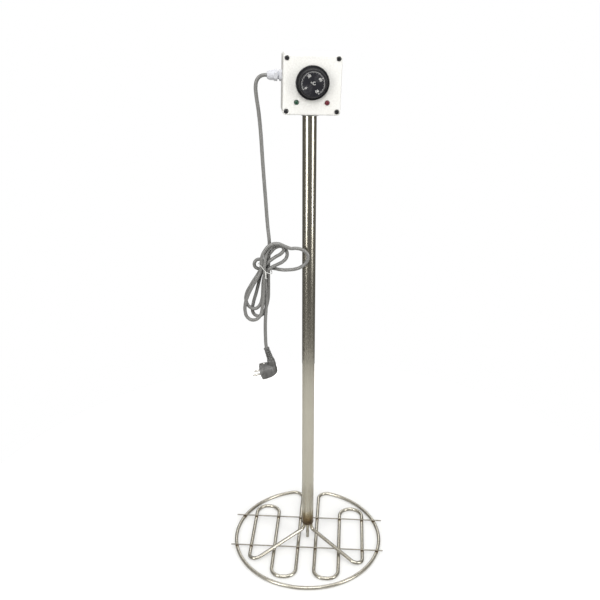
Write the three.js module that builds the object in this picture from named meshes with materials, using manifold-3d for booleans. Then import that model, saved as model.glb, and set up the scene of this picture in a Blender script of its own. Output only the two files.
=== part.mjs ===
// Immersion heater for drums and tubs: a flat stainless heating ring on a
// tall stem, with a thermostat box, control knob, lamps and a mains lead.
// Millimetres, +Z up. The origin is on the floor under the middle of the ring.

import * as THREE from 'three';
import { mergeVertices } from 'three/addons/utils/BufferGeometryUtils.js';
import Module from 'manifold-3d';

// ---------------------------------------------------------------- dimensions

const GAP = 0.3; // working clearance between pieces that touch

// heating element: one bent tube lying flat on the floor
const ELEMENT_D = 8.2;
const RING_R = 175; // centre line of the outer ring
const LEG_X = 8.3; // where each end of the tube enters the stem
const LINE_X = [21, 77.5, 134]; // straight runs to each side of the middle
const FRONT_U_Y = -142; // tips of the two front hairpins
const REAR_U_Y = 108; // tips of the two rear hairpins
const REAR_BEND_R = 22; // where the inner runs turn into the ring
const OUTER_U_Y = -108.5; // corner where the sloping leg meets the outer run
const OUTER_U_R = 16;
const LEG_KNEE_Z = 28.5;
const LEG_TOP_Z = 1062;

// stay wires welded across the top of the tubes
const WIRE_D = 2.5;
const WIRE_Y = [-48.5, 61];
const WIRE_HALF = 182.5;

// stem
const STEM_D = 28;
const STEM_WALL = 1;
const STEM_BOTTOM = 50;
const STEM_TOP = 1049;
const CAP_BOTTOM = 46;

// temperature sensor
const POCKET_D = 7.5;
const POCKET_BOTTOM = 1.5;
const POCKET_TOP = 120;
const BULB_D = 5.6;
const BULB_LENGTH = 90;
const CAPILLARY_D = 2;

// box
const HEAD_YAW = THREE.MathUtils.degToRad(8); // the box is clamped slightly turned
const HEAD_TILT = THREE.MathUtils.degToRad(1.5); // and leans a little to its right
const HEAD_PIVOT_Z = 1033;
const BOX_SIZE = 110;
const BOX_R = 6;
const BOX_FRONT = -40;
const BOX_BACK = 26;
const BOX_SPLIT = -20;
const BOX_Z = 1086;
const WALL = 2.5;
const LID_ROUND = 3;
const SEAL_T = 1;
const SCREW_SPACING = 96;
const SCREW_HEAD_D = 8;
const SCREW_D = 4;
const BOSS_D = 12;

// stem fixing under the box
const FLANGE_D = 38;
const FLANGE_T = 2.5;
const GASKET_D = 36;
const GASKET_T = 2;
const LOCKNUT_AF = 37;
const LOCKNUT_T = 7;

// thermostat and knob
const KNOB_Z = 1091;
const KNOB_D = 63;
const KNOB_FACE_D = 50;
const KNOB_DEPTH = 16;
const SKIRT_STEP = 3.6; // flat shoulder round the grip
const KNOB_GAP = 1.5;
const SPINDLE_D = 6;
const THERMOSTAT = [38, 24, 36];
const DIAL_D = 46;
const DIAL_T = 0.6;

// lamps
const LAMP_X = 29;
const LAMP_Z = 1054.8;
const LAMP_D = 8.2;

// cable gland on the left wall
const GLAND_Z = 1099;
const GLAND_AF = 19;
const GLAND_HEX = 4.8;
const GLAND_GROOVE = 3.4;
const GLAND_NUT = 20;
const CORD_D = 7.2;

// ------------------------------------------------------------------- helpers

const wasm = await Module();
wasm.setup();

const heater = new THREE.Group();
const head = new THREE.Group();
head.rotation.set(0, HEAD_TILT, HEAD_YAW, 'ZYX');
head.position.set(0, 0, HEAD_PIVOT_Z).sub(
  new THREE.Vector3(0, 0, HEAD_PIVOT_Z).applyEuler(head.rotation));
head.updateMatrixWorld();
heater.add(head);

const steel = (color, roughness = 0.35) => ({ color, roughness, metalness: 1 });
const plastic = (color, roughness = 0.5) => ({ color, roughness, metalness: 0 });
const STAINLESS = steel(0xa8a296);
const STEM_STEEL = steel(0xb4ae9f, 0.3);
const WELD = steel(0x4a3a28, 0.6);
const ZINC = steel(0x9a9a9c);
const BRASS = steel(0xb59a55);
const BOX_WHITE = plastic(0xe9e9e4);
const BLACK = plastic(0x18181b, 0.4);
const RUBBER = plastic(0x3c3c3c, 0.8);
const CORD_GREY = plastic(0x8f918d, 0.6);
const PLUG_GREY = plastic(0x646462, 0.6);
const GLAND_GREY = plastic(0xb9bec4, 0.45);
const CERAMIC = plastic(0xece6d8, 0.3);

function add(name, geometry, finish, group = heater) {
  const mesh = new THREE.Mesh(geometry, new THREE.MeshStandardMaterial(finish));
  mesh.name = name;
  group.add(mesh);
  return mesh;
}

function toSolid(geometry) {
  const g = geometry.clone();
  g.deleteAttribute('normal');
  g.deleteAttribute('uv');
  const welded = mergeVertices(g, 1e-4);
  return new wasm.Manifold(new wasm.Mesh({
    numProp: 3,
    vertProperties: new Float32Array(welded.attributes.position.array),
    triVerts: new Uint32Array(welded.index.array),
  }));
}

function toGeometry(solid) {
  const mesh = solid.getMesh();
  const g = new THREE.BufferGeometry();
  g.setAttribute('position', new THREE.BufferAttribute(mesh.vertProperties, 3));
  g.setIndex(new THREE.BufferAttribute(mesh.triVerts, 1));
  g.computeVertexNormals();
  return g;
}

const join = (...parts) => toGeometry(parts.map(toSolid).reduce((a, b) => a.add(b)));

function cut(body, ...tools) {
  return toGeometry(tools.map(toSolid).reduce((a, b) => a.subtract(b), toSolid(body)));
}

// Solid of revolution about +Z from [radius, z] pairs that start and end on the
// axis or close on themselves.
function turned(profile, sides = 32) {
  const points = profile.map(([r, z]) => new THREE.Vector2(r, z));
  return new THREE.LatheGeometry(points, sides).rotateX(Math.PI / 2);
}

const disc = (d, z0, z1, sides = 24) => turned([[0, z0], [d / 2, z0], [d / 2, z1], [0, z1]], sides);

function sleeve(outer, inner, z0, z1, sides = 32) {
  const [a, b] = [inner / 2, outer / 2];
  return turned([[a, z0], [b, z0], [b, z1], [a, z1], [a, z0]], sides);
}

// Turn a +Z solid so that it points along `axis`, and move it to `at`.
function aim(geometry, axis, at = [0, 0, 0]) {
  const turn = new THREE.Quaternion().setFromUnitVectors(
    new THREE.Vector3(0, 0, 1), new THREE.Vector3(...axis).normalize());
  return geometry.applyQuaternion(turn).translate(...at);
}

const toFront = (geometry, x, z) => aim(geometry, [0, -1, 0], [x, 0, z]);
const toLeft = (geometry, z) => aim(geometry, [-1, 0, 0], [0, 0, z]);

function rod(d, from, to, sides = 12) {
  const a = new THREE.Vector3(...from);
  const along = new THREE.Vector3(...to).sub(a);
  return aim(disc(d, 0, along.length(), sides), along.toArray(), from);
}

function block(size, centre) {
  return new THREE.BoxGeometry(...size).translate(...centre);
}

function roundedSquare(size, radius) {
  const h = size / 2;
  const k = h - radius;
  const shape = new THREE.Shape();
  shape.absarc(k, k, radius, 0, Math.PI / 2);
  shape.absarc(-k, k, radius, Math.PI / 2, Math.PI);
  shape.absarc(-k, -k, radius, Math.PI, 1.5 * Math.PI);
  shape.absarc(k, -k, radius, 1.5 * Math.PI, 2 * Math.PI);
  return shape;
}

// Prism of an X-Z outline between two depths, measured along +Y.
function slab(shape, front, back, z, bevel = 0) {
  const g = new THREE.ExtrudeGeometry(shape, {
    depth: back - front - 2 * bevel,
    curveSegments: 4,
    bevelEnabled: bevel > 0,
    bevelThickness: bevel,
    bevelSize: bevel,
    bevelOffset: -bevel,
    bevelSegments: 2,
  });
  return g.rotateX(Math.PI / 2).translate(0, back - bevel, z);
}

function hexNut(acrossFlats, bore, z0, z1) {
  const outer = turned(
    [[0, z0], [acrossFlats / Math.sqrt(3), z0], [acrossFlats / Math.sqrt(3), z1], [0, z1]], 6);
  return bore ? cut(outer, disc(bore, z0 - 1, z1 + 1)) : outer;
}

// A round section with a flat side underneath, so that a bent tube has a true
// flat face to stand on. Its first coordinate is sideways, its second is up.
function pipeSection(d, sides) {
  const shape = new THREE.Shape();
  const r = d / 2 / Math.cos(Math.PI / sides);
  for (let i = 0; i < sides; i += 1) {
    const a = ((i + 0.5) / sides) * 2 * Math.PI;
    shape[i ? 'lineTo' : 'moveTo'](r * Math.sin(a), -r * Math.cos(a));
  }
  shape.closePath();
  return shape;
}

// A run of straight pipe with rounded corners. Its section never rolls: the
// sideways direction stays level all the way along.
class BentPipe extends THREE.Curve {
  constructor() {
    super();
    this.stations = [];
  }

  push(point, tangent) {
    const previous = this.stations.at(-1);
    if (previous && previous.point.distanceTo(point) < 1e-6) return;
    this.stations.push({ point: point.clone(), tangent: tangent.clone().normalize() });
  }

  // Straight runs between corners, each corner rounded to its own radius.
  run(corners, stepAngle) {
    const last = corners.length - 1;
    const direction = (i) => corners[i + 1].at.clone().sub(corners[i].at).normalize();
    this.push(corners[0].at, direction(0));
    for (let i = 1; i < last; i += 1) {
      this.bend(corners[i].at, direction(i - 1), direction(i), corners[i].radius, stepAngle);
    }
    this.push(corners[last].at, direction(last - 1));
    return this;
  }

  bend(corner, before, after, radius, stepAngle) {
    const angle = before.angleTo(after);
    const start = corner.clone().addScaledVector(before, -radius * Math.tan(angle / 2));
    const axis = before.clone().cross(after).normalize();
    const centre = start.clone().addScaledVector(axis.clone().cross(before), radius);
    this.arc(start, before, centre, axis, angle, stepAngle);
  }

  arc(start, tangent, centre, axis, angle, stepAngle) {
    const steps = Math.max(2, Math.round(angle / stepAngle));
    for (let k = 0; k <= steps; k += 1) {
      const turn = (angle * k) / steps;
      const spoke = start.clone().sub(centre).applyAxisAngle(axis, turn);
      this.push(centre.clone().add(spoke), tangent.clone().applyAxisAngle(axis, turn));
    }
    return this;
  }

  getPoint(t) {
    return this.stations[Math.round(t * (this.stations.length - 1))].point.clone();
  }

  getSpacedPoints() {
    return this.stations.map((station) => station.point);
  }

  // Level sideways direction at a station; a vertical stretch borrows it from
  // the nearest station that leans.
  sideways(i) {
    for (let reach = 0; reach < this.stations.length; reach += 1) {
      for (const station of [this.stations[i + reach], this.stations[i - reach]]) {
        const { x, y } = station?.tangent ?? { x: 0, y: 0 };
        if (Math.hypot(x, y) > 1e-3) return new THREE.Vector3(-y, x, 0).normalize();
      }
    }
    return new THREE.Vector3(1, 0, 0);
  }

  computeFrenetFrames() {
    const tangents = this.stations.map((station) => station.tangent);
    const normals = tangents.map((_, i) => this.sideways(i));
    const binormals = tangents.map((t, i) => t.clone().cross(normals[i]).normalize());
    return { tangents, normals, binormals };
  }
}

function pipe(path, d, sides) {
  const steps = path.stations.length - 1;
  return new THREE.ExtrudeGeometry(pipeSection(d, sides), { extrudePath: path, steps });
}

const v = (x, y, z) => new THREE.Vector3(x, y, z);
const corner = (x, y, z, radius = 0) => ({ at: v(x, y, z), radius });
const UP = v(0, 0, 1);
const rad = THREE.MathUtils.degToRad;

// ----------------------------------------------------------- heating element

// One tube bent into both legs, six straight runs, four hairpins and the ring.
function elementPath() {
  const z = ELEMENT_D / 2;
  const hairpin = (LINE_X[1] - LINE_X[0]) / 2;
  const side = (s) => [
    corner(s * LEG_X, 0, LEG_TOP_Z),
    corner(s * LEG_X, 0, LEG_KNEE_Z, 10),
    corner(s * LINE_X[2], OUTER_U_Y, z, OUTER_U_R),
    corner(s * LINE_X[2], REAR_U_Y, z, hairpin),
    corner(s * LINE_X[1], REAR_U_Y, z, hairpin),
    corner(s * LINE_X[1], FRONT_U_Y, z, hairpin - 3),
    corner(s * LINE_X[0], FRONT_U_Y, z, hairpin - 3),
  ];
  const bendX = LINE_X[0] + REAR_BEND_R;
  const bendY = Math.sqrt((RING_R - REAR_BEND_R) ** 2 - bendX ** 2);
  const bendAngle = Math.atan2(bendY, -bendX);
  const ringScale = RING_R / (RING_R - REAR_BEND_R);
  const ringStart = v(-bendX * ringScale, bendY * ringScale, z);
  const ringTangent = v(-bendY, -bendX, 0).normalize();
  const runEnd = corner(-LINE_X[0], bendY, z);
  const path = new BentPipe();
  path.run([...side(-1), runEnd], rad(22.5));
  path.arc(runEnd.at, v(0, 1, 0), v(-bendX, bendY, z), UP, bendAngle, rad(22.5));
  path.arc(ringStart, ringTangent, v(0, 0, z), UP, 3 * Math.PI - 2 * bendAngle, rad(7.5));
  path.arc(v(bendX * ringScale, bendY * ringScale, z), v(-bendY, bendX, 0).normalize(),
    v(bendX, bendY, z), UP, bendAngle, rad(22.5));
  path.run([corner(LINE_X[0], bendY, z), ...side(1).reverse()], rad(22.5));
  return path;
}

add('heating_element', pipe(elementPath(), ELEMENT_D, 12), STAINLESS);

const wireZ = ELEMENT_D + GAP + WIRE_D / 2;
['front', 'rear'].forEach((place, i) => {
  const ends = [-1, 1].map((s) => [s * WIRE_HALF, WIRE_Y[i], wireZ]);
  add(`stay_wire_${place}`, rod(WIRE_D, ...ends, 10), STAINLESS);
});

// ---------------------------------------------------------------------- stem

add('stem_tube', sleeve(STEM_D, STEM_D - 2 * STEM_WALL, STEM_BOTTOM, STEM_TOP), STEM_STEEL);

const capR = STEM_D / 2;
const legHole = (s) => disc(ELEMENT_D + 2 * GAP + 0.3, 0, STEM_BOTTOM * 2, 24).translate(s * LEG_X, 0, 0);
const pocketHole = disc(POCKET_D + 2 * GAP, 0, STEM_BOTTOM * 2, 24);
const capBlank = turned([
  [0, CAP_BOTTOM], [capR - 0.9, CAP_BOTTOM], [capR, CAP_BOTTOM + 1.6],
  [capR, STEM_BOTTOM - GAP], [0, STEM_BOTTOM - GAP],
]);
add('stem_end_weld', cut(capBlank, legHole(-1), legHole(1), pocketHole), WELD);

// sensor: closed pocket, fluid bulb inside it, and the capillary to the box
const pocketBore = POCKET_D / 2 - 0.6;
add('sensor_pocket', turned([
  [0, POCKET_BOTTOM], [POCKET_D / 2 - 0.8, POCKET_BOTTOM], [POCKET_D / 2, POCKET_BOTTOM + 0.8],
  [POCKET_D / 2, POCKET_TOP], [pocketBore, POCKET_TOP], [pocketBore, POCKET_BOTTOM + 1],
  [0, POCKET_BOTTOM + 1],
], 24), STAINLESS);
const bulbBottom = POCKET_BOTTOM + 1 + GAP;
const bulbTop = bulbBottom + BULB_LENGTH;
add('sensor_bulb', disc(BULB_D, bulbBottom, bulbTop, 16), BRASS);

const [thermoW, thermoT, thermoH] = THERMOSTAT;
const thermoFront = BOX_FRONT + 3 + GAP;
const thermoMid = thermoFront + thermoT / 2;
const capillaryTop = KNOB_Z - thermoH / 2 - GAP;
const inHead = (x, y, z, radius = 0) => ({ at: v(x, y, z).applyMatrix4(head.matrixWorld), radius });
const capillary = new BentPipe().run([
  corner(0, 0, bulbTop + GAP),
  corner(0, 0, STEM_TOP + 2, 4),
  inHead(0, thermoMid, STEM_TOP + 14, 4),
  inHead(0, thermoMid, capillaryTop),
], rad(30));
add('capillary_tube', pipe(capillary, CAPILLARY_D, 8), BRASS);

// each end of the element carries a ceramic bush and a terminal pin
[['left', -1], ['right', 1]].forEach(([name, s]) => {
  const bushTop = LEG_TOP_Z + GAP + 6;
  const at = [s * LEG_X, 0, 0];
  const bush = disc(7, LEG_TOP_Z + GAP, bushTop, 16).translate(...at);
  add(`terminal_bush_${name}`, bush, CERAMIC);
  add(`terminal_pin_${name}`, disc(3, bushTop + GAP, bushTop + 9, 12).translate(...at), ZINC);
});

// flange, rubber gasket and lock nut clamp the box to the stem
const boxBottom = BOX_Z - BOX_SIZE / 2;
const stemHole = STEM_D + 4 * GAP;
const gasketBottom = boxBottom - GAP - GASKET_T;
const flangeBottom = gasketBottom - GAP - FLANGE_T;
add('stem_gasket', sleeve(GASKET_D, stemHole, gasketBottom, boxBottom - GAP), RUBBER, head);
add('stem_flange', sleeve(FLANGE_D, stemHole, flangeBottom, gasketBottom - GAP), ZINC, head);
const locknutBottom = boxBottom + WALL + GAP;
const locknut = hexNut(LOCKNUT_AF, stemHole, locknutBottom, locknutBottom + LOCKNUT_T);
add('stem_locknut', locknut.rotateZ(Math.PI / 6), ZINC, head);

// ----------------------------------------------------------------------- box

const inner = BOX_SIZE - 2 * WALL;
const corners = [[-1, 1], [1, 1], [-1, -1], [1, -1]].map(([a, b]) => [
  (a * SCREW_SPACING) / 2, BOX_Z + (b * SCREW_SPACING) / 2]);
const lidBack = BOX_SPLIT - GAP;
const baseFront = BOX_SPLIT + SEAL_T + GAP;
const acrossBox = (d, x, z, front, back, sides = 20) => toFront(disc(d, -back, -front, sides), x, z);
const outerShape = roundedSquare(BOX_SIZE, BOX_R);
const innerShape = roundedSquare(inner, BOX_R - WALL);

function shell(front, back, cavityFront, cavityBack, keepFront, keepBack, bosses) {
  const outer = slab(outerShape, front, back, BOX_Z, LID_ROUND);
  const cavity = slab(innerShape, cavityFront, cavityBack, BOX_Z);
  const hollow = cut(outer, cavity);
  const bars = bosses.map(([x, z, y0, y1]) => acrossBox(BOSS_D, x, z, y0, y1));
  const keep = block([2 * BOX_SIZE, keepBack - keepFront, 2 * BOX_SIZE],
    [0, (keepFront + keepBack) / 2, BOX_Z]);
  return toGeometry(toSolid(join(hollow, ...bars)).intersect(toSolid(keep)));
}

const base = shell(BOX_SPLIT - 20, BOX_BACK, BOX_SPLIT - 25, BOX_BACK - WALL, baseFront, BOX_BACK,
  corners.map(([x, z]) => [x, z, baseFront, BOX_BACK - 1]));
add('box_base', cut(base,
  ...corners.map(([x, z]) => acrossBox(SCREW_D + 2 * GAP, x, z, baseFront - 1, 8, 12)),
  disc(stemHole, boxBottom - 5, boxBottom + WALL + 2),
  toLeft(disc(16 + 2 * GAP, BOX_SIZE / 2 - WALL - 2, BOX_SIZE / 2 + 2), GLAND_Z),
), BOX_WHITE, head);

const lidSkin = 3;
const recess = 2;
const lid = shell(BOX_FRONT, BOX_SPLIT + 20, BOX_FRONT + lidSkin, BOX_SPLIT + 25, BOX_FRONT, lidBack,
  corners.map(([x, z]) => [x, z, BOX_FRONT + 1, lidBack]));
const bushD = 9.4;
const thermoScrewX = 14;
add('box_lid', cut(lid,
  ...corners.map(([x, z]) => acrossBox(SCREW_D + 2 * GAP, x, z, BOX_FRONT - 1, BOX_SPLIT, 12)),
  ...corners.map(([x, z]) => acrossBox(SCREW_HEAD_D + 1.4, x, z, BOX_FRONT - 1, BOX_FRONT + recess)),
  acrossBox(bushD + 2 * GAP, 0, KNOB_Z, BOX_FRONT - 1, BOX_SPLIT),
  ...[-1, 1].map((s) => acrossBox(4.6, s * thermoScrewX, KNOB_Z, BOX_FRONT - 1, BOX_SPLIT, 12)),
  ...[-1, 1].map((s) => acrossBox(LAMP_D + 2 * GAP, s * LAMP_X, LAMP_Z, BOX_FRONT - 1, BOX_SPLIT)),
), BOX_WHITE, head);

const sealWidth = 1.5;
const sealOuter = BOX_SIZE - 1;
const sealRing = roundedSquare(sealOuter, BOX_R - 0.5);
sealRing.holes.push(roundedSquare(sealOuter - 2 * sealWidth, BOX_R - 0.5 - sealWidth));
add('lid_seal', slab(sealRing, BOX_SPLIT, BOX_SPLIT + SEAL_T, BOX_Z), RUBBER, head);

const headTop = -BOX_FRONT + 1.2;
const headSeat = -BOX_FRONT - recess + GAP;
corners.forEach(([x, z], i) => {
  const screw = turned([
    [0, -6], [SCREW_D / 2, -6], [SCREW_D / 2, headSeat], [SCREW_HEAD_D / 2, headSeat],
    [SCREW_HEAD_D / 2, headTop - 1], [SCREW_HEAD_D / 2 - 1.2, headTop], [0, headTop],
  ], 16);
  add(`lid_screw_${i + 1}`, toFront(screw, x, z), BLACK, head);
});

// ------------------------------------------------- thermostat, knob and dial

const thermoBody = block([thermoW, thermoT, thermoH], [0, thermoMid, KNOB_Z]);
const bush = acrossBox(bushD, 0, KNOB_Z, BOX_FRONT - 0.5, thermoFront + 1);
const spindleBack = thermoFront + 6;
add('thermostat_body', cut(join(thermoBody, bush),
  acrossBox(SPINDLE_D + 2 * GAP, 0, KNOB_Z, BOX_FRONT - 2, spindleBack + GAP, 16),
  ...[-1, 1].map((s) => acrossBox(4.6, s * thermoScrewX, KNOB_Z, BOX_FRONT, thermoFront + 8, 12)),
), ZINC, head);
[['left', -1], ['right', 1]].forEach(([name, s]) => {
  const top = -BOX_FRONT + GAP;
  const screw = turned([
    [0, -thermoFront - 7], [2, -thermoFront - 7], [2, top], [3.6, top], [3.6, top + 1.6],
    [2.4, top + 2.4], [0, top + 2.4],
  ], 16);
  add(`thermostat_screw_${name}`, toFront(screw, s * thermoScrewX, KNOB_Z), ZINC, head);
});

const knobBack = -BOX_FRONT + KNOB_GAP;
const knobTop = knobBack + KNOB_DEPTH;
const boreR = SPINDLE_D / 2 + GAP;
const boreTop = knobTop - 3.2;
add('thermostat_spindle', acrossBox(SPINDLE_D, 0, KNOB_Z, -boreTop + GAP, spindleBack, 16), ZINC, head);

const rimR = KNOB_D / 2;
const faceR = KNOB_FACE_D / 2;
const seatR = DIAL_D / 2 + GAP;
const seatZ = knobTop - DIAL_T - GAP;
const hubR = 6.5;
const shoulderZ = knobBack + 5;
add('knob', toFront(turned([
  [0, boreTop], [boreR, boreTop], [boreR, knobBack], [hubR, knobBack], [hubR, knobTop - 4.5],
  [faceR - 3, knobTop - 4.5], [faceR - 1.5, shoulderZ - 2], [rimR - 2, shoulderZ - 2],
  [rimR - 2, knobBack], [rimR, knobBack], [rimR, shoulderZ - 1], [rimR - 1, shoulderZ],
  [rimR - SKIRT_STEP, shoulderZ], [faceR + 0.6, knobTop - 1], [faceR - 0.4, knobTop],
  [seatR, knobTop], [seatR, seatZ], [0, seatZ],
], 40), 0, KNOB_Z), BLACK, head);
add('dial_disc', toFront(disc(DIAL_D, seatZ + GAP, knobTop, 40), 0, KNOB_Z), BLACK, head);

// --------------------------------------------------------------------- lamps

[['green', -1, 0x2f9e63], ['red', 1, 0xc02636]].forEach(([name, s, color]) => {
  const face = -BOX_FRONT + GAP;
  const r = LAMP_D / 2;
  const dome = [30, 60].map((a) => [r * Math.cos(rad(a)), face + 0.8 + 2.4 * Math.sin(rad(a))]);
  const lens = turned([
    [0, face - 8], [r, face - 8], [r, face], [r + 0.7, face], [r + 0.7, face + 0.8],
    [r, face + 0.8], ...dome, [0, face + 3.2],
  ], 20);
  add(`lamp_lens_${name}`, toFront(lens, s * LAMP_X, LAMP_Z), plastic(color, 0.2), head);
  const holder = toFront(disc(LAMP_D, face - 8 - GAP - 11, face - 8 - GAP, 16), s * LAMP_X, LAMP_Z);
  add(`lamp_holder_${name}`, holder, BLACK, head);
});

// ------------------------------------------------- mains gland and terminals

const wallOut = BOX_SIZE / 2;
const hexIn = wallOut + GAP;
const hexOut = hexIn + GLAND_HEX;
const nutIn = hexOut + GLAND_GROOVE;
const nutOut = nutIn + GLAND_NUT;
const bodyIn = wallOut - WALL - 7;
const neckOut = nutIn + 10;
const glandBody = join(
  turned([[0, bodyIn], [8, bodyIn], [8, hexIn + 1], [0, hexIn + 1]], 24),
  hexNut(GLAND_AF, 0, hexIn, hexOut),
  turned([[0, hexOut - 1], [7.5, hexOut - 1], [7.5, neckOut], [0, neckOut]], 24),
);
add('gland_body', toLeft(cut(glandBody, disc(9, bodyIn - 1, neckOut + 1, 20)), GLAND_Z), GLAND_GREY, head);
add('gland_locknut', toLeft(
  hexNut(20, 16 + 2 * GAP, wallOut - WALL - GAP - 4, wallOut - WALL - GAP), GLAND_Z), GLAND_GREY, head);

const hexLength = 6.5;
const glandNut = join(
  hexNut(GLAND_AF, 0, nutIn, nutIn + hexLength),
  turned([[0, nutIn + 1], [GLAND_AF / 2 - 0.2, nutIn + 1], [GLAND_AF / 2 - 0.2, nutOut - 8],
    [GLAND_AF / 2 - 1, nutOut - 4.5], [7, nutOut - 1.2], [5.8, nutOut], [0, nutOut]], 24),
);
add('gland_nut', toLeft(cut(glandNut,
  disc(15 + 2 * GAP, nutIn - 1, neckOut + GAP, 24),
  disc(13.4, neckOut, nutOut - 3, 24),
  disc(CORD_D + 2 * GAP, nutIn, nutOut + 1, 20),
), GLAND_Z), GLAND_GREY, head);
add('gland_seal', toLeft(
  sleeve(12.8, CORD_D + 2 * GAP, neckOut + GAP, nutOut - 3 - GAP, 20), GLAND_Z), RUBBER, head);
add('cord_entry', toLeft(disc(CORD_D, bodyIn - 2, nutOut, 12), GLAND_Z), CORD_GREY, head);

const blockSize = [30, 15, 18];
const blockAt = [-31, BOX_BACK - WALL - GAP - blockSize[1] / 2, 1066];
add('terminal_block', block(blockSize, blockAt), BOX_WHITE, head);
[['live', 0x6b4226], ['neutral', 0x2f5fa8], ['earth', 0x7ea23a]].forEach(([name, color], i) => {
  const x = blockAt[0] + (i - 1) * 8;
  const start = -(bodyIn - 2 - GAP);
  const lift = (1 - i) * 2.3;
  const lead = new BentPipe().run([
    corner(start, lift, GLAND_Z),
    corner(x, lift, GLAND_Z, 3),
    corner(x, blockAt[1], GLAND_Z - 10, 3),
    corner(x, blockAt[1], blockAt[2] + blockSize[2] / 2 + GAP),
  ], rad(30));
  add(`lead_${name}`, pipe(lead, 2, 8), plastic(color), head);
});

// --------------------------------------------------------------- mains cord

const CORD_SIDES = 10;
const cordSteps = (points, steps) => {
  const curve = new THREE.CatmullRomCurve3(points.map((p) => v(...p)), false, 'centripetal');
  const path = new BentPipe();
  for (let i = 0; i <= steps; i += 1) path.push(curve.getPointAt(i / steps), curve.getTangentAt(i / steps));
  return path;
};

const exit = inHead(-(nutOut + GAP), 0, GLAND_Z).at;
const UPPER_CORD = [
  [exit.x, exit.y, exit.z], [-86.2, -12.2, 1101.2], [-93.8, -12.8, 1098.5], [-99.9, -13.2, 1091.6],
  [-102.5, -13.4, 1080], [-101.6, -13.5, 1063], [-98, -13.5, 1035], [-95, -13.4, 1000],
  [-91.5, -13.2, 930], [-87.5, -12.8, 860], [-84, -12.3, 800], [-81.5, -12, 771.2],
];
add('cord_upper', pipe(cordSteps(UPPER_CORD, 22), CORD_D, CORD_SIDES), CORD_GREY);

const SIDE_LOOP = [
  [-44.4, -19, 756.6], [-36, -19, 757.9], [-27, -19.3, 758.6], [-14, -19.6, 756.4],
  [-4.5, -19.9, 750.2], [-0.6, -20, 741], [-3.2, -19.8, 730.6], [-11.5, -19.3, 720.6],
  [-24, -18.8, 713.8], [-40, -18.2, 710.6], [-60.3, -17.6, 709.4],
];
add('cord_side_loop', pipe(cordSteps(SIDE_LOOP, 14), CORD_D, CORD_SIDES), CORD_GREY);

// The hank is a flat bundle: an eye above the tie, a long fold below it and a
// small fold to its left.
const HANK_FRONT = -23;
const HANK_BACK = -1;
const EYE = [-71, 743, 28];
const WAIST = [-89.5, 703, 12.5];
const FOLD = [-115, 614, 27.5];
const SIDE_FOLD = [-104, 716, 13];

function taper([x1, z1, r1], [x2, z2, r2]) {
  const along = Math.atan2(z2 - z1, x2 - x1);
  const spread = Math.acos((r1 - r2) / Math.hypot(x2 - x1, z2 - z1));
  const shape = new THREE.Shape();
  shape.absarc(x1, z1, r1, along + spread, along + 2 * Math.PI - spread);
  shape.absarc(x2, z2, r2, along - spread, along + spread);
  return shape;
}

function bundle(shape) {
  const depth = HANK_BACK - HANK_FRONT;
  const g = new THREE.ExtrudeGeometry(shape, { depth, bevelEnabled: false, curveSegments: 12 });
  return g.rotateX(Math.PI / 2).translate(0, HANK_BACK, 0);
}

const sideFold = aim(disc(2 * SIDE_FOLD[2], -HANK_BACK, -HANK_FRONT, 20), [0, -1, 0],
  [SIDE_FOLD[0], 0, SIDE_FOLD[1]]);
add('cord_hank', join(bundle(taper(EYE, WAIST)), bundle(taper(FOLD, WAIST)), sideFold), CORD_GREY);

const TAIL_CORD = [
  [-93, -6.5, 592.8], [-93.4, -7.5, 574], [-93.6, -9.8, 552], [-92, -11.9, 526.6],
];
add('cord_tail', pipe(cordSteps(TAIL_CORD, 5), CORD_D, CORD_SIDES), CORD_GREY);

// a flat band just under the waist
const TIE_Z = 694;
const TIE_WIDTH = 2;
const TIE_T = 1;
const TIE_SIDES = [-108.4, -77.1];
const tieOutline = (grow) => {
  const [left, right] = [TIE_SIDES[0] - grow, TIE_SIDES[1] + grow];
  const [front, back] = [HANK_FRONT - GAP - grow, HANK_BACK + GAP + grow];
  return [[left, front], [right, front], [right, back], [left, back]]
    .map(([x, y]) => new THREE.Vector2(x, y));
};
const tieShape = new THREE.Shape(tieOutline(TIE_T));
tieShape.holes.push(new THREE.Path(tieOutline(0)));
add('twist_tie', new THREE.ExtrudeGeometry(tieShape, { depth: TIE_WIDTH, bevelEnabled: false })
  .translate(0, 0, TIE_Z), BOX_WHITE);

// ----------------------------------------------------------------- plug

// Angled plug: X runs back from the pin face, Z runs up towards the cord.
const plug = new THREE.Group();
plug.rotation.y = -rad(17.5);
plug.position.set(-103.4, -12, 465);
heater.add(plug);

const PLUG_R = 18.5;
const PLUG_DEPTH = 36;
const NECK_X = 29;
const NECK_R = 8.5;
const NECK_TOP = 23;
const RELIEF_TOP = 53.6;
const PIN_D = 4.8;
const PIN_LENGTH = 19;
const PIN_Y = 9.5;

const plugShell = aim(turned([
  [0, 0], [PLUG_R - 0.8, 0], [PLUG_R, 0.8], [PLUG_R, 10], [PLUG_R - 1.2, 20],
  [14.5, 29], [9, 34.3], [0, PLUG_DEPTH],
], 36), [1, 0, 0]);
const neck = disc(2 * NECK_R, 4, NECK_TOP, 24).translate(NECK_X, 0, 0);
const earthSocket = aim(disc(5, -1, 14, 16), [1, 0, 0], [0, 0, -9.5]);
const clipSlot = (s) => block([14, 6.8, 3], [6, 0, s * (PLUG_R - 0.5)]);
add('plug_body', cut(join(plugShell, neck), earthSocket, clipSlot(-1), clipSlot(1)), PLUG_GREY, plug);

add('plug_relief', turned([
  [0, NECK_TOP + GAP], [7.4, NECK_TOP + GAP], [7.4, NECK_TOP + 4], [6.6, NECK_TOP + 5],
  [5.2, RELIEF_TOP - 0.8], [4.6, RELIEF_TOP], [0, RELIEF_TOP],
], 20).translate(NECK_X, 0, 0), PLUG_GREY, plug);

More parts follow.
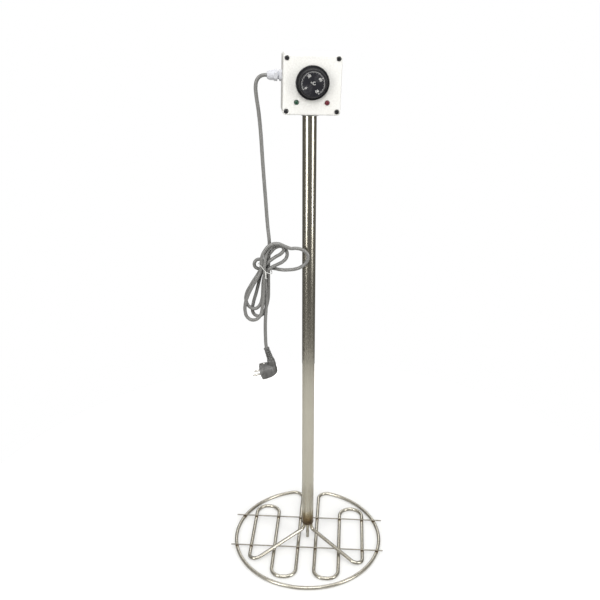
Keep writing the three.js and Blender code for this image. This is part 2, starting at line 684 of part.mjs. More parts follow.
[['left', -1], ['right', 1]].forEach(([name, s]) => {
  const pin = turned([
    [0, GAP], [PIN_D / 2, GAP], [PIN_D / 2, PIN_LENGTH - 1.2], [PIN_D / 2 - 1.2, PIN_LENGTH], [0, PIN_LENGTH],
  ], 16);
  add(`plug_pin_${name}`, aim(pin, [-1, 0, 0], [0, s * PIN_Y, 0]), ZINC, plug);
});
[['upper', 1], ['lower', -1]].forEach(([name, s]) => {
  add(`earth_clip_${name}`, block([12, 6, 1], [6, 0, s * (PLUG_R - 1)]), ZINC, plug);
});

export default heater;
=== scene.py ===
import math

import bmesh
import bpy
from mathutils import Matrix, Vector, noise


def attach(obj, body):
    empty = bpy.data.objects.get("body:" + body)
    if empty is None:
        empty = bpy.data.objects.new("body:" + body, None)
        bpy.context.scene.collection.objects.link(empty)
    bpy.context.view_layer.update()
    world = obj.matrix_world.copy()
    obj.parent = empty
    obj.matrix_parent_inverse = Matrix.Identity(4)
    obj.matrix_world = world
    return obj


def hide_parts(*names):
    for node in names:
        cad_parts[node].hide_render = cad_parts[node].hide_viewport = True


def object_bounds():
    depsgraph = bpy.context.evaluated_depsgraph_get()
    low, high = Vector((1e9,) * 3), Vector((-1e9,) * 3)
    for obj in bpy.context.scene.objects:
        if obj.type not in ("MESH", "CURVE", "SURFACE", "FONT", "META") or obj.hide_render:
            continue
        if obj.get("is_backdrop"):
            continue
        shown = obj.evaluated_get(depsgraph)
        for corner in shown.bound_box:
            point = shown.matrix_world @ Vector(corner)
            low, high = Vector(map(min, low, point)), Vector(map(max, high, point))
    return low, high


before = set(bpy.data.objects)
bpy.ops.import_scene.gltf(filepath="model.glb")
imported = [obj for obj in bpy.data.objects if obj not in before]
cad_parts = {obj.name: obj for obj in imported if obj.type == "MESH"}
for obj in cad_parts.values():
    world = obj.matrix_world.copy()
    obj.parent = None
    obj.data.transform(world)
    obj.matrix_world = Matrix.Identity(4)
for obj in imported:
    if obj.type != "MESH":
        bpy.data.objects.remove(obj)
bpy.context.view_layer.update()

# ---------------------------------------------------------------------------
# Studio. A pale round floor that glows towards its rim and so fades into the white
# backdrop, two tall soft lights and a high one in front, a soft one overhead and a
# weak one behind, with the camera standing a little to the right.

MM = 0.001
CAMERA_AT = (0.0783, -1.4790, 1.2610)
CAMERA_TURN = (67.11, 0.0, 3.75)
CAMERA_LENS = 45
FLOOR_RADIUS = 0.92
FLOOR_DROP = 0.0002
FLOOR_WHITE = (0.64, 0.64, 0.63, 1)
GLOW_INNER, GLOW_OUTER = 0.30, 1.0
GLOW_FROM, GLOW_TO = 0.18, 0.62


def shown(obj):
    bpy.context.scene.collection.objects.link(obj)
    return obj


def add_node(tree, kind, inputs=None, **settings):
    """A shader node with its settings, and each named input either linked or set."""
    made = tree.nodes.new("ShaderNode" + kind)
    for key, value in settings.items():
        setattr(made, key, value)
    for key, value in (inputs or {}).items():
        if isinstance(value, bpy.types.NodeSocket):
            tree.links.new(value, made.inputs[key])
        else:
            made.inputs[key].default_value = value
    return made


def new_material(name):
    made = bpy.data.materials.new(name)
    made.use_nodes = True
    return made, made.node_tree, made.node_tree.nodes["Principled BSDF"]


def softbox(name, at, towards, size, power, tint):
    lamp = bpy.data.lights.new(name, "AREA")
    lamp.shape = "RECTANGLE"
    lamp.size, lamp.size_y = size
    lamp.energy = power
    lamp.color = tint
    light = shown(bpy.data.objects.new(name, lamp))
    light.location = at
    light.rotation_euler = (Vector(towards) - Vector(at)).to_track_quat("-Z", "Y").to_euler()
    light.visible_camera = False


camera_data = bpy.data.cameras.new("camera")
camera_data.lens = CAMERA_LENS
camera = shown(bpy.data.objects.new("camera", camera_data))
camera.location = CAMERA_AT
camera.rotation_euler = [math.radians(angle) for angle in CAMERA_TURN]
bpy.context.scene.camera = camera
bpy.context.scene.view_settings.view_transform = "Standard"

softbox("tall_light_left", (-1.36, -1.72, 1.25), (0, 0, 0.95), (0.62, 2.1), 25, (1, 0.99, 0.97))
softbox("tall_light_right", (1.82, -1.00, 1.25), (0, 0, 0.95), (0.50, 2.1), 21, (1, 0.995, 0.985))
softbox("high_front_light", (0.15, -2.20, 2.90), (0, 0, 1.0), (1.4, 0.9), 30, (1, 1, 1))
softbox("overhead_light", (0.1, -0.3, 2.9), (0, 0, 0), (2.2, 2.2), 20, (1, 1, 1))
softbox("rear_fill", (0.0, 2.6, 2.0), (0, 0, 0.6), (1.2, 0.9), 9, (1, 1, 1))

world = bpy.data.worlds.new("studio_air")
bpy.context.scene.world = world
world.use_nodes = True
air = world.node_tree
air.nodes.clear()
direction = add_node(air, "TexCoord")
height = add_node(air, "SeparateXYZ", {"Vector": direction.outputs["Generated"]})
sky = add_node(air, "ValToRGB", {"Fac": height.outputs["Z"]})
sky.color_ramp.elements[0].position = 0.05
sky.color_ramp.elements[0].color = (0.16, 0.155, 0.145, 1)
sky.color_ramp.elements[1].position = 0.75
sky.color_ramp.elements[1].color = (0.75, 0.75, 0.75, 1)
room = add_node(air, "Background", {"Color": sky.outputs["Color"], "Strength": 0.75})
backdrop = add_node(air, "Background", {"Color": (1, 1, 1, 1), "Strength": 1.0})
ray = add_node(air, "LightPath")
both = add_node(air, "MixShader", {
    0: ray.outputs["Is Camera Ray"], 1: room.outputs[0], 2: backdrop.outputs[0]})
add_node(air, "OutputWorld", {"Surface": both.outputs[0]})

floor_mesh = bmesh.new()
bmesh.ops.create_circle(floor_mesh, cap_ends=True, radius=FLOOR_RADIUS, segments=96)
floor_data = bpy.data.meshes.new("floor")
floor_mesh.to_mesh(floor_data)
floor_mesh.free()
floor = shown(bpy.data.objects.new("floor", floor_data))
floor.location.z = -FLOOR_DROP
floor_paint, tree, floor_shader = new_material("pale_floor")
floor_shader.inputs["Base Color"].default_value = FLOOR_WHITE
floor_shader.inputs["Roughness"].default_value = 0.9
floor_shader.inputs["Specular IOR Level"].default_value = 0.1
floor_shader.inputs["Emission Color"].default_value = (1, 1, 1, 1)
place = add_node(tree, "TexCoord")
away = add_node(tree, "VectorMath", {0: place.outputs["Object"]}, operation="LENGTH")
glow = add_node(tree, "MapRange", {
    "Value": away.outputs["Value"], "From Min": GLOW_FROM, "From Max": GLOW_TO,
    "To Min": GLOW_INNER, "To Max": GLOW_OUTER})
ray = add_node(tree, "LightPath")
seen = add_node(tree, "Math", {0: glow.outputs[0], 1: ray.outputs["Is Camera Ray"]},
                operation="MULTIPLY")
tree.links.new(seen.outputs[0], floor_shader.inputs["Emission Strength"])
floor_data.materials.append(floor_paint)
floor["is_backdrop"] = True

# ---------------------------------------------------------------------------
# Heating element. One stainless tube, pickled to a warm matt grey, is bent into
# both legs, six straight runs, four hairpins and the outer ring that stands on
# the floor. The stay wires are later welded across it, which leaves heat marks.

ELEMENT_R = 4.1
ELEMENT_Z = 4.1
RING_R = 175
LEG_X = 8.3
INNER_RUN_X, MIDDLE_RUN_X, OUTER_RUN_X = 21, 77.5, 134
HAIRPIN_R = 28.25
FRONT_HAIRPIN_R = 25.25
FRONT_HAIRPIN_Y = -142
REAR_HAIRPIN_Y = 108
LEG_FOOT_Y = -108.5
LEG_FOOT_R = 16
LEG_KNEE_Z = 28.5
LEG_KNEE_R = 10
LEG_TOP_Z = 1062
RING_TURN_R = 22
WIRE_Y = (-48.5, 61)
BEND_STEP = math.radians(5)
ELEMENT_GREY = (0.55, 0.525, 0.455, 1)
ELEMENT_BROWN = (0.42, 0.39, 0.325, 1)
TUBE_SIDES = 32


def arc(start, centre, axis, angle):
    """Points from start, turning about centre."""
    steps = max(3, round(abs(angle) / BEND_STEP))
    spoke = start - centre
    return [centre + Matrix.Rotation(angle * k / steps, 3, axis) @ spoke for k in range(steps + 1)]


def bent(corners):
    """A line through (x, y, z, bend radius) corners in millimetres, as points in metres."""
    at = [Vector(c[:3]) * MM for c in corners]
    line = [at[0]]
    for before, here, after, corner in zip(at, at[1:], at[2:], corners[1:]):
        entering, leaving = (here - before).normalized(), (after - here).normalized()
        angle, radius = entering.angle(leaving), corner[3] * MM
        start = here - entering * radius * math.tan(angle / 2)
        axis = entering.cross(leaving).normalized()
        line += arc(start, start + axis.cross(entering) * radius, axis, angle)
    return line + [at[-1]]


def loft(rings, loop=False):
    """A closed skin through rings of points."""
    skin = bmesh.new()
    rows = [[skin.verts.new(point) for point in ring] for ring in rings]
    for low, high in list(zip(rows, rows[1:])) + ([(rows[-1], rows[0])] if loop else []):
        for i, corner in enumerate(low):
            j = (i + 1) % len(low)
            skin.faces.new((corner, low[j], high[j], high[i]))
    if not loop:
        skin.faces.new(rows[0][::-1])
        skin.faces.new(rows[-1])
    return skin


def tube(line, radius, sides=TUBE_SIDES, ease=0.3):
    """A round bar along a line in metres, its ends eased by a small chamfer."""
    rings = []
    across = (line[1] - line[0]).orthogonal()
    last = len(line) - 1
    for i, point in enumerate(line):
        along = (line[min(i + 1, last)] - line[max(i - 1, 0)]).normalized()
        across = (across - across.project(along)).normalized()
        side = along.cross(across)
        spokes = [across * math.cos(a) + side * math.sin(a)
                  for a in (2 * math.pi * k / sides for k in range(sides))]
        if i in (0, last):
            inward = along * ease * MM * (1 if i == 0 else -1)
            end = [[point + s * (radius - ease) * MM for s in spokes],
                   [point + inward + s * radius * MM for s in spokes]]
            rings += end if i == 0 else end[::-1]
        else:
            rings.append([point + s * radius * MM for s in spokes])
    return loft(rings)


def solid(name, skin, place=None, sharp=40):
    """Turns a skin into a piece, smooth except where it turns by more than the sharp angle."""
    bmesh.ops.remove_doubles(skin, verts=skin.verts, dist=1e-7)
    bmesh.ops.recalc_face_normals(skin, faces=skin.faces)
    mesh = bpy.data.meshes.new(name)
    skin.to_mesh(mesh)
    skin.free()
    mesh.shade_smooth()
    mesh.set_sharp_from_angle(angle=math.radians(sharp))
    made = shown(bpy.data.objects.new(name, mesh))
    if place is not None:
        made.matrix_world = place
    bpy.context.view_layer.update()
    return made


def painted(piece, *materials):
    piece.data.materials.clear()
    for material in materials:
        piece.data.materials.append(material)
    return piece


def new_group(name, inputs, outputs):
    tree = bpy.data.node_groups.new(name, "ShaderNodeTree")
    for label, kind, value in inputs:
        socket = tree.interface.new_socket(label, in_out="INPUT", socket_type="NodeSocket" + kind)
        socket.default_value = value
    for label, kind in outputs:
        tree.interface.new_socket(label, in_out="OUTPUT", socket_type="NodeSocket" + kind)
    return tree, tree.nodes.new("NodeGroupInput").outputs, tree.nodes.new("NodeGroupOutput").inputs


def use(tree, group, **inputs):
    made = add_node(tree, "Group", node_tree=group)
    for key, value in inputs.items():
        socket = made.inputs[key.replace("_", " ")]
        if isinstance(value, bpy.types.NodeSocket):
            tree.links.new(value, socket)
        else:
            socket.default_value = value
    return made.outputs


# soft clouds of a second colour, as on any handled or pickled surface
DRIFT, given, result = new_group("colour_drift", [
    ("Colour", "Color", (0.5, 0.5, 0.5, 1)), ("Second", "Color", (0.4, 0.4, 0.4, 1)),
    ("Scale", "Float", 20.0), ("Spread", "Float", 0.6)], [("Colour", "Color"), ("Mask", "Float")])
place = add_node(DRIFT, "TexCoord")
clouds = add_node(DRIFT, "TexNoise", {
    "Vector": place.outputs["Object"], "Scale": given["Scale"], "Detail": 5.0, "Roughness": 0.6})
mask = add_node(DRIFT, "MapRange", {
    "Value": clouds.outputs["Fac"], "From Min": 0.32, "From Max": 0.68, "To Max": given["Spread"]})
blend = add_node(DRIFT, "Mix", {
    "Factor": mask.outputs[0], 6: given["Colour"], 7: given["Second"]}, data_type="RGBA")
DRIFT.links.new(blend.outputs[2], result["Colour"])
DRIFT.links.new(mask.outputs[0], result["Mask"])

# edges rubbed to a second colour, broken up so that the rubbing isn't even; where the second colour is
# lighter, on the knob, the dial and the plug, it is a painted highlight on their edges
WEAR, given, result = new_group("edge_wear_and_highlight", [
    ("Colour", "Color", (0.5, 0.5, 0.5, 1)), ("Worn", "Color", (0.6, 0.6, 0.6, 1)),
    ("Amount", "Float", 0.5), ("Breakup", "Float", 300.0)],
    [("Colour", "Color"), ("Mask", "Float")])
shape = add_node(WEAR, "NewGeometry")
place = add_node(WEAR, "TexCoord")
edge = add_node(WEAR, "MapRange", {
    "Value": shape.outputs["Pointiness"], "From Min": 0.505, "From Max": 0.56})
patches = add_node(WEAR, "TexNoise", {
    "Vector": place.outputs["Object"], "Scale": given["Breakup"], "Detail": 4.0})
patchy = add_node(WEAR, "MapRange", {
    "Value": patches.outputs["Fac"], "From Min": 0.35, "From Max": 0.6})
rubbed = add_node(WEAR, "Math", {0: edge.outputs[0], 1: patchy.outputs[0]}, operation="MULTIPLY")
amount = add_node(WEAR, "Math", {0: rubbed.outputs[0], 1: given["Amount"]}, operation="MULTIPLY")
blend = add_node(WEAR, "Mix", {
    "Factor": amount.outputs[0], 6: given["Colour"], 7: given["Worn"]}, data_type="RGBA")
WEAR.links.new(blend.outputs[2], result["Colour"])
WEAR.links.new(amount.outputs[0], result["Mask"])

# fine scratches or draw lines, stretched along one axis
LINES, given, result = new_group("draw_lines", [
    ("Stretch", "Vector", (1200, 1200, 25))], [("Height", "Float")])
place = add_node(LINES, "TexCoord")
stretched = add_node(LINES, "VectorMath", {
    0: place.outputs["Object"], 1: given["Stretch"]}, operation="MULTIPLY")
lines = add_node(LINES, "TexNoise", {
    "Vector": stretched.outputs[0], "Scale": 1.0, "Detail": 6.0, "Roughness": 0.65})
LINES.links.new(lines.outputs["Fac"], result["Height"])

# the crawl of colour that heat leaves on stainless steel, from straw to brown
HEAT, given, result = new_group("heat_colour", [
    ("Colour", "Color", (0.5, 0.5, 0.5, 1)), ("Heat", "Float", 0.0)], [("Colour", "Color")])
ramp = add_node(HEAT, "ValToRGB", {"Fac": given["Heat"]})
stops = ramp.color_ramp.elements
stops[0].position, stops[0].color = 0.0, (0.58, 0.52, 0.36, 1)
stops[1].position, stops[1].color = 1.0, (0.035, 0.025, 0.018, 1)
middle = stops.new(0.55)
middle.color = (0.25, 0.18, 0.095, 1)
depth = add_node(HEAT, "MapRange", {"Value": given["Heat"], "From Max": 0.35})
blend = add_node(HEAT, "Mix", {
    "Factor": depth.outputs[0], 6: given["Colour"], 7: ramp.outputs[0]}, data_type="RGBA")
HEAT.links.new(blend.outputs[2], result["Colour"])


def metal(name, colour, second, rough, stretch, bump, drift_scale=18.0, spread=0.7):
    """Bare metal: clouded colour, and fine lines that vary its gloss and surface."""
    made, tree, shader = new_material(name)
    tone = use(tree, DRIFT, Colour=colour, Second=second, Scale=drift_scale, Spread=spread)
    height = use(tree, LINES, Stretch=stretch)["Height"]
    gloss = add_node(tree, "MapRange", {
        "Value": height, "From Min": 0.3, "From Max": 0.7, "To Min": rough[0], "To Max": rough[1]})
    relief = add_node(tree, "Bump", {"Height": height, "Strength": bump, "Distance": 0.0002})
    tree.links.new(tone["Colour"], shader.inputs["Base Color"])
    tree.links.new(gloss.outputs[0], shader.inputs["Roughness"])
    tree.links.new(relief.outputs[0], shader.inputs["Normal"])
    shader.inputs["Metallic"].default_value = 1.0
    return made, tree, shader, tone["Colour"]


def element_line():
    """The bent line of the whole tube, from the top of one leg to the top of the other."""
    turn_x = INNER_RUN_X + RING_TURN_R
    turn_y = math.sqrt((RING_R - RING_TURN_R) ** 2 - turn_x ** 2)
    turn_angle = math.atan2(turn_y, -turn_x)
    reach = RING_R / (RING_R - RING_TURN_R)

    def side(s):
        return [
            (s * LEG_X, 0, LEG_TOP_Z, 0), (s * LEG_X, 0, LEG_KNEE_Z, LEG_KNEE_R),
            (s * OUTER_RUN_X, LEG_FOOT_Y, ELEMENT_Z, LEG_FOOT_R),
            (s * OUTER_RUN_X, REAR_HAIRPIN_Y, ELEMENT_Z, HAIRPIN_R),
            (s * MIDDLE_RUN_X, REAR_HAIRPIN_Y, ELEMENT_Z, HAIRPIN_R),
            (s * MIDDLE_RUN_X, FRONT_HAIRPIN_Y, ELEMENT_Z, FRONT_HAIRPIN_R),
            (s * INNER_RUN_X, FRONT_HAIRPIN_Y, ELEMENT_Z, FRONT_HAIRPIN_R),
            (s * INNER_RUN_X, turn_y, ELEMENT_Z, 0)]

    up = Vector((0, 0, 1))
    centre = Vector((0, 0, ELEMENT_Z)) * MM
    left, right = bent(side(-1)), bent(side(1))
    turn_left = Vector((-turn_x, turn_y, ELEMENT_Z)) * MM
    turn_right = Vector((turn_x, turn_y, ELEMENT_Z)) * MM
    ring_start = Vector((-turn_x * reach, turn_y * reach, ELEMENT_Z)) * MM
    ring_end = Vector((turn_x * reach, turn_y * reach, ELEMENT_Z)) * MM
    line = left[:-1] + arc(left[-1], turn_left, up, turn_angle)
    line += arc(ring_start, centre, up, 3 * math.pi - 2 * turn_angle)[1:-1]
    line += arc(ring_end, turn_right, up, turn_angle) + right[:-1][::-1]
    return line


element_steel, tree, shader, tone = metal(
    "element_steel", ELEMENT_GREY, ELEMENT_BROWN, (0.21, 0.31), (420, 420, 420), 0.015)
place = add_node(tree, "TexCoord")
along = add_node(tree, "SeparateXYZ", {"Vector": place.outputs["Object"]})
marks = []
for y in WIRE_Y:
    away = add_node(tree, "Math", {0: along.outputs["Y"], 1: y * MM}, operation="SUBTRACT")
    away = add_node(tree, "Math", {0: away.outputs[0]}, operation="ABSOLUTE")
    marks.append(add_node(tree, "MapRange", {
        "Value": away.outputs[0], "From Min": 0.0015, "From Max": 0.0075,
        "To Min": 0.5, "To Max": 0.0}))
crossing = add_node(tree, "Math", {
    0: marks[0].outputs[0], 1: marks[1].outputs[0]}, operation="MAXIMUM")
low = add_node(tree, "MapRange", {
    "Value": along.outputs["Z"], "From Min": 0.0095, "From Max": 0.0115,
    "To Min": 1.0, "To Max": 0.0})
flat = add_node(tree, "Math", {0: crossing.outputs[0], 1: low.outputs[0]}, operation="MULTIPLY")
stem_glow = add_node(tree, "MapRange", {
    "Value": along.outputs["Z"], "From Min": 0.030, "From Max": 0.048, "To Max": 0.35})
heat = add_node(tree, "Math", {0: flat.outputs[0], 1: stem_glow.outputs[0]}, operation="MAXIMUM")
tinted = use(tree, HEAT, Colour=tone, Heat=heat.outputs[0])
tree.links.new(tinted["Colour"], shader.inputs["Base Color"])

element = painted(solid("element_tube", tube(element_line(), ELEMENT_R)), element_steel)
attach(element, "heater")
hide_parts("heating_element")

# ---------------------------------------------------------------------------
# Stay wires. Two thin stainless wires lie across the top of the tubes and hold
# the hairpins apart. Each crossing is tacked with a small dark weld.

WIRE_R = 1.45
WIRE_Z = 9.75
WIRE_HALF = 182.5
WIRE_GREY = (0.33, 0.31, 0.27, 1)
WIRE_BROWN = (0.22, 0.20, 0.165, 1)
WIRE_STATIONS = 25
WIRE_SWAY, WIRE_RIPPLE = 0.35, 0.2
TACK_SIZE = (3.4, 2.5, 1.9)
TACK_DROP, TACK_APART = 1.7, 1.2
WELD_BLACK = (0.050, 0.038, 0.028, 1)
WELD_BROWN = (0.13, 0.085, 0.045, 1)
LUMP_DEPTH = 0.16

wire_steel = metal("wire_steel", WIRE_GREY, WIRE_BROWN, (0.26, 0.44), (60, 2200, 2200), 0.25, 60.0)[0]
weld_oxide, _, shader, _ = metal(
    "weld_oxide", WELD_BLACK, WELD_BROWN, (0.42, 0.68), (900, 900, 900), 0.8, 260.0, 0.9)
shader.inputs["Metallic"].default_value = 0.7

for row, y in zip(("front", "rear"), WIRE_Y):
    line = []
    for k in range(WIRE_STATIONS):
        x = (2 * k / (WIRE_STATIONS - 1) - 1) * WIRE_HALF
        sway = WIRE_SWAY * noise.noise(Vector((x / 55, y, 0)))
        ripple = WIRE_RIPPLE * noise.noise(Vector((x / 40, y, 9)))
        line.append(Vector((x, y + sway, WIRE_Z + ripple)) * MM)
    wire = painted(solid("wire_" + row, tube(line, WIRE_R, 20, 0.25)), wire_steel)
    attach(wire, "heater")
    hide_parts("stay_wire_" + row)

    reach = math.sqrt(RING_R ** 2 - y ** 2)
    tacks = bmesh.new()
    for x in (-reach, -OUTER_RUN_X, -MIDDLE_RUN_X, -INNER_RUN_X,
              INNER_RUN_X, MIDDLE_RUN_X, OUTER_RUN_X, reach):
        for s in (-1, 1):
            at = Vector((x, y + s * TACK_APART, WIRE_Z - TACK_DROP))
            made = bmesh.ops.create_icosphere(tacks, subdivisions=3, radius=1)
            for vert in made["verts"]:
                lump = 1 + LUMP_DEPTH * 2 * noise.noise(vert.co * 1.7 + at)
                vert.co = Vector([c * lump * r for c, r in zip(vert.co, TACK_SIZE)]) + at
                vert.co *= MM
    weld = painted(solid("stay_welds_" + row, tacks, sharp=80), weld_oxide)
    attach(weld, "heater")

# ---------------------------------------------------------------------------
# Stem. A thin-walled stainless tube, polished along its length, which the two
# legs of the element and the sensor run up inside. Welding its lower end has
# left a straw and brown heat stain above a dark bead.

STEM_R = 14
STEM_WALL = 1
STEM_BOTTOM, STEM_TOP = 50, 1049
STEM_SIDES = 96
STEM_TONE = (0.65, 0.62, 0.53, 1)
STEM_SECOND = (0.56, 0.525, 0.44, 1)
BEAD_LOW, BEAD_TOP = 45.6, 52.2
BEAD_PROFILE = (
    (0, BEAD_LOW), (11.5, BEAD_LOW, 1), (13.9, BEAD_LOW + 2.2, 1.2), (14.1, BEAD_TOP - 1.6, 0.8),
    (13.6, BEAD_TOP, 0.3), (12.6, BEAD_TOP - 0.6, 0.2), (12.6, BEAD_TOP - 2, 0.2), (0, BEAD_TOP - 2))
BEAD_ROUGH, BEAD_RIPPLE = 0.55, 0.35
POCKET_R = 3.75
POCKET_BOTTOM, POCKET_TOP = 1.5, 120


def eased(profile, steps=4):
    """Rounds each (radius, z, fillet) corner of a turning profile."""
    done = []
    points = [Vector(p[:2]) for p in profile]
    for i, here in enumerate(points):
        fillet = profile[i][2] if len(profile[i]) > 2 else 0
        if not fillet:
            done.append(here)
            continue
        before, after = points[i - 1] - here, points[(i + 1) % len(points)] - here
        half = before.angle(after) / 2
        reach = min(fillet / math.tan(half), 0.49 * before.length, 0.49 * after.length)
        start, end = here + before.normalized() * reach, here + after.normalized() * reach
        for k in range(steps + 1):
            t = k / steps
            done.append(start * (1 - t) ** 2 + here * 2 * t * (1 - t) + end * t ** 2)
    return done


def turned(profile, sides=64, swell=None, loop=False):
    """A turned solid from (radius, z, fillet) corners in millimetres. swell changes
    the radius by angle and height, for flutes and lumps."""
    rings = []
    for r, z in eased(profile):
        ring = []
        for k in range(sides):
            a = 2 * math.pi * k / sides
            reach = max(r, 0.01) + (swell(a, z, r) if swell else 0)
            ring.append(Vector((reach * math.cos(a), reach * math.sin(a), z)) * MM)
        rings.append(ring)
    return loft(rings, loop)


stem_steel, tree, shader, tone = metal(
    "stem_steel", STEM_TONE, STEM_SECOND, (0.21, 0.29), (2600, 2600, 5), 0.04, 9.0, 0.8)
place = add_node(tree, "TexCoord")
along = add_node(tree, "SeparateXYZ", {"Vector": place.outputs["Object"]})
ragged = add_node(tree, "TexNoise", {"Vector": place.outputs["Object"], "Scale": 60.0})
shift = add_node(tree, "Math", {0: ragged.outputs["Fac"], 1: 0.022}, operation="MULTIPLY")
level = add_node(tree, "Math", {0: along.outputs["Z"], 1: shift.outputs[0]}, operation="SUBTRACT")
heat = add_node(tree, "MapRange", {
    "Value": level.outputs[0], "From Min": 0.034, "From Max": 0.080,
    "To Min": 1.0, "To Max": 0.0})
tinted = use(tree, HEAT, Colour=tone, Heat=heat.outputs[0])
tree.links.new(tinted["Colour"], shader.inputs["Base Color"])

stem = painted(solid("stem_pipe", turned([
    (STEM_R - STEM_WALL, STEM_BOTTOM, 0.2), (STEM_R, STEM_BOTTOM, 0.3),
    (STEM_R, STEM_TOP, 0.3), (STEM_R - STEM_WALL, STEM_TOP, 0.2)],
    STEM_SIDES, loop=True), sharp=60), stem_steel)
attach(stem, "heater")
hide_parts("stem_tube")


def bead_lumps(angle, z, r):
    if r < 5:
        return 0
    around = Vector((math.cos(angle), math.sin(angle), z / 9)) * 3.2
    return BEAD_ROUGH * noise.noise(around) + BEAD_RIPPLE * abs(math.sin(11 * angle + z / 3))


bead = painted(solid("stem_end_bead", turned(BEAD_PROFILE, STEM_SIDES, bead_lumps), sharp=80), weld_oxide)
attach(bead, "heater")
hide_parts("stem_end_weld")

pocket = painted(solid("pocket_pipe", turned([
    (0, POCKET_BOTTOM), (POCKET_R, POCKET_BOTTOM, 1.6), (POCKET_R, POCKET_TOP, 0.2),
    (POCKET_R - 0.6, POCKET_TOP, 0.2), (POCKET_R - 0.6, POCKET_BOTTOM + 1, 0.6),
    (0, POCKET_BOTTOM + 1)], 40)), element_steel)
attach(pocket, "heater")
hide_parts("sensor_pocket")

# ---------------------------------------------------------------------------
# Stem fixing. A zinc flange and a rubber gasket are clamped up against the
# bottom of the box by a lock nut inside it. The whole box stands turned a
# little on the stem, and leans a little towards the side of the red lamp.

HEAD_TURN, HEAD_TILT = math.radians(8), math.radians(1.5)
HEAD_PIVOT = Vector((0, 0, 1.033))
FLANGE_R, FLANGE_LOW, FLANGE_TOP = 19, 1025.9, 1028.4
GASKET_R, GASKET_LOW, GASKET_TOP = 18, 1028.7, 1030.7
STEM_HOLE_R = 14.6
ZINC_TONE = (0.34, 0.34, 0.345, 1)
ZINC_SECOND = (0.25, 0.25, 0.25, 1)
RUBBER_TONE = (0.030, 0.030, 0.030, 1)
RUBBER_SECOND = (0.045, 0.045, 0.043, 1)

head_turn = (Matrix.Translation(HEAD_PIVOT) @ Matrix.Rotation(HEAD_TURN, 4, "Z")
             @ Matrix.Rotation(HEAD_TILT, 4, "Y") @ Matrix.Translation(-HEAD_PIVOT))


def facing_front(x, z):
    """Placement for a turned piece whose axis points out of the box front."""
    return head_turn @ Matrix.Translation(Vector((x, 0, z)) * MM) @ Matrix.Rotation(math.pi / 2, 4, "X")


def facing_left(z):
    """Placement for a turned piece whose axis points out of the left wall."""
    return head_turn @ Matrix.Translation(Vector((0, 0, z)) * MM) @ Matrix.Rotation(-math.pi / 2, 4, "Y")


# fine even pitting, as on spark-eroded moulds and rubber
PITTING, given, result = new_group("moulded_pitting", [
    ("Scale", "Float", 1500.0), ("Coarse", "Float", 0.3)], [("Height", "Float")])
place = add_node(PITTING, "TexCoord")
pits = add_node(PITTING, "TexVoronoi", {
    "Vector": place.outputs["Object"], "Scale": given["Scale"]}, feature="SMOOTH_F1")
swells = add_node(PITTING, "TexNoise", {
    "Vector": place.outputs["Object"], "Scale": 90.0, "Detail": 3.0})
total = add_node(PITTING, "Mix", {
    "Factor": given["Coarse"], 2: pits.outputs["Distance"], 3: swells.outputs["Fac"]})
PITTING.links.new(total.outputs[0], result["Height"])


def moulded(name, colour, second, worn, wear, rough, grain, bump, drift_scale=35.0):
    """Moulded plastic or rubber: clouded colour, a pitted skin, and edges in a second colour, which is
    rubbing on most pieces and a painted highlight on the knob, the dial and the plug.
    """
    made, tree, shader = new_material(name)
    tone = use(tree, DRIFT, Colour=colour, Second=second, Scale=drift_scale, Spread=0.8)
    rubbed = use(tree, WEAR, Colour=tone["Colour"], Worn=worn, Amount=wear)
    gloss = add_node(tree, "MapRange", {
        "Value": tone["Mask"], "To Min": rough[0], "To Max": rough[1]})
    height = use(tree, PITTING, Scale=grain)["Height"]
    relief = add_node(tree, "Bump", {"Height": height, "Strength": bump, "Distance": 0.0002})
    tree.links.new(rubbed["Colour"], shader.inputs["Base Color"])
    tree.links.new(gloss.outputs[0], shader.inputs["Roughness"])
    tree.links.new(relief.outputs[0], shader.inputs["Normal"])
    return made, tree, shader


zinc = metal("zinc", ZINC_TONE, ZINC_SECOND, (0.32, 0.46), (500, 500, 500), 0.2, 40.0)[0]
rubber = moulded("rubber", RUBBER_TONE, RUBBER_SECOND, (0.07, 0.07, 0.07, 1), 0.4,
                 (0.62, 0.8), 1400.0, 0.3)[0]

flange = painted(solid("flange_plate", turned([
    (STEM_HOLE_R, FLANGE_LOW, 0.3), (FLANGE_R, FLANGE_LOW, 0.6), (FLANGE_R, FLANGE_TOP, 0.4),
    (STEM_HOLE_R, FLANGE_TOP, 0.2)], 96, loop=True), head_turn), zinc)
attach(flange, "heater")
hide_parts("stem_flange")

gasket = painted(solid("gasket_ring", turned([
    (STEM_HOLE_R, GASKET_LOW, 0.2), (GASKET_R, GASKET_LOW, 0.8), (GASKET_R, GASKET_TOP, 0.8),
    (STEM_HOLE_R, GASKET_TOP, 0.2)], 96, loop=True), head_turn), rubber)
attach(gasket, "heater")
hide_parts("stem_gasket")

# ---------------------------------------------------------------------------
# Box. Two moulded off-white halves, a deep base fixed to the stem and a front
# lid that carries the control. Their outer edges are rounded and a thin rubber
# seal shows in the joint between them.

BOX_HALF = 55
BOX_CORNER_R = 6
BOX_EDGE_R = 3
BOX_MID_Z = 1086
BOX_FRONT, LID_BACK = -40, -20.3
BASE_FRONT, BOX_BACK = -18.7, 26
WALL = 2.5
LIP = 0.35
LID_SKIN = 3
SCREW_AT = 48
BOSS_R = 6
SCREW_HOLE_R, SCREW_RECESS_R, RECESS_FLARE = 2.3, 4.7, 0.5
KNOB_Z = 1091
SPINDLE_HOLE_R, FIXING_X = 5, 14
LAMP_X, LAMP_Z, LAMP_HOLE_R = 29, 1054.8, 4.4
GLAND_Z, GLAND_HOLE_R = 1099, 8.3
BOX_WHITE = (0.91, 0.91, 0.885, 1)
BOX_CREAM = (0.885, 0.88, 0.84, 1)
BOX_SCUFFED = (0.66, 0.65, 0.61, 1)


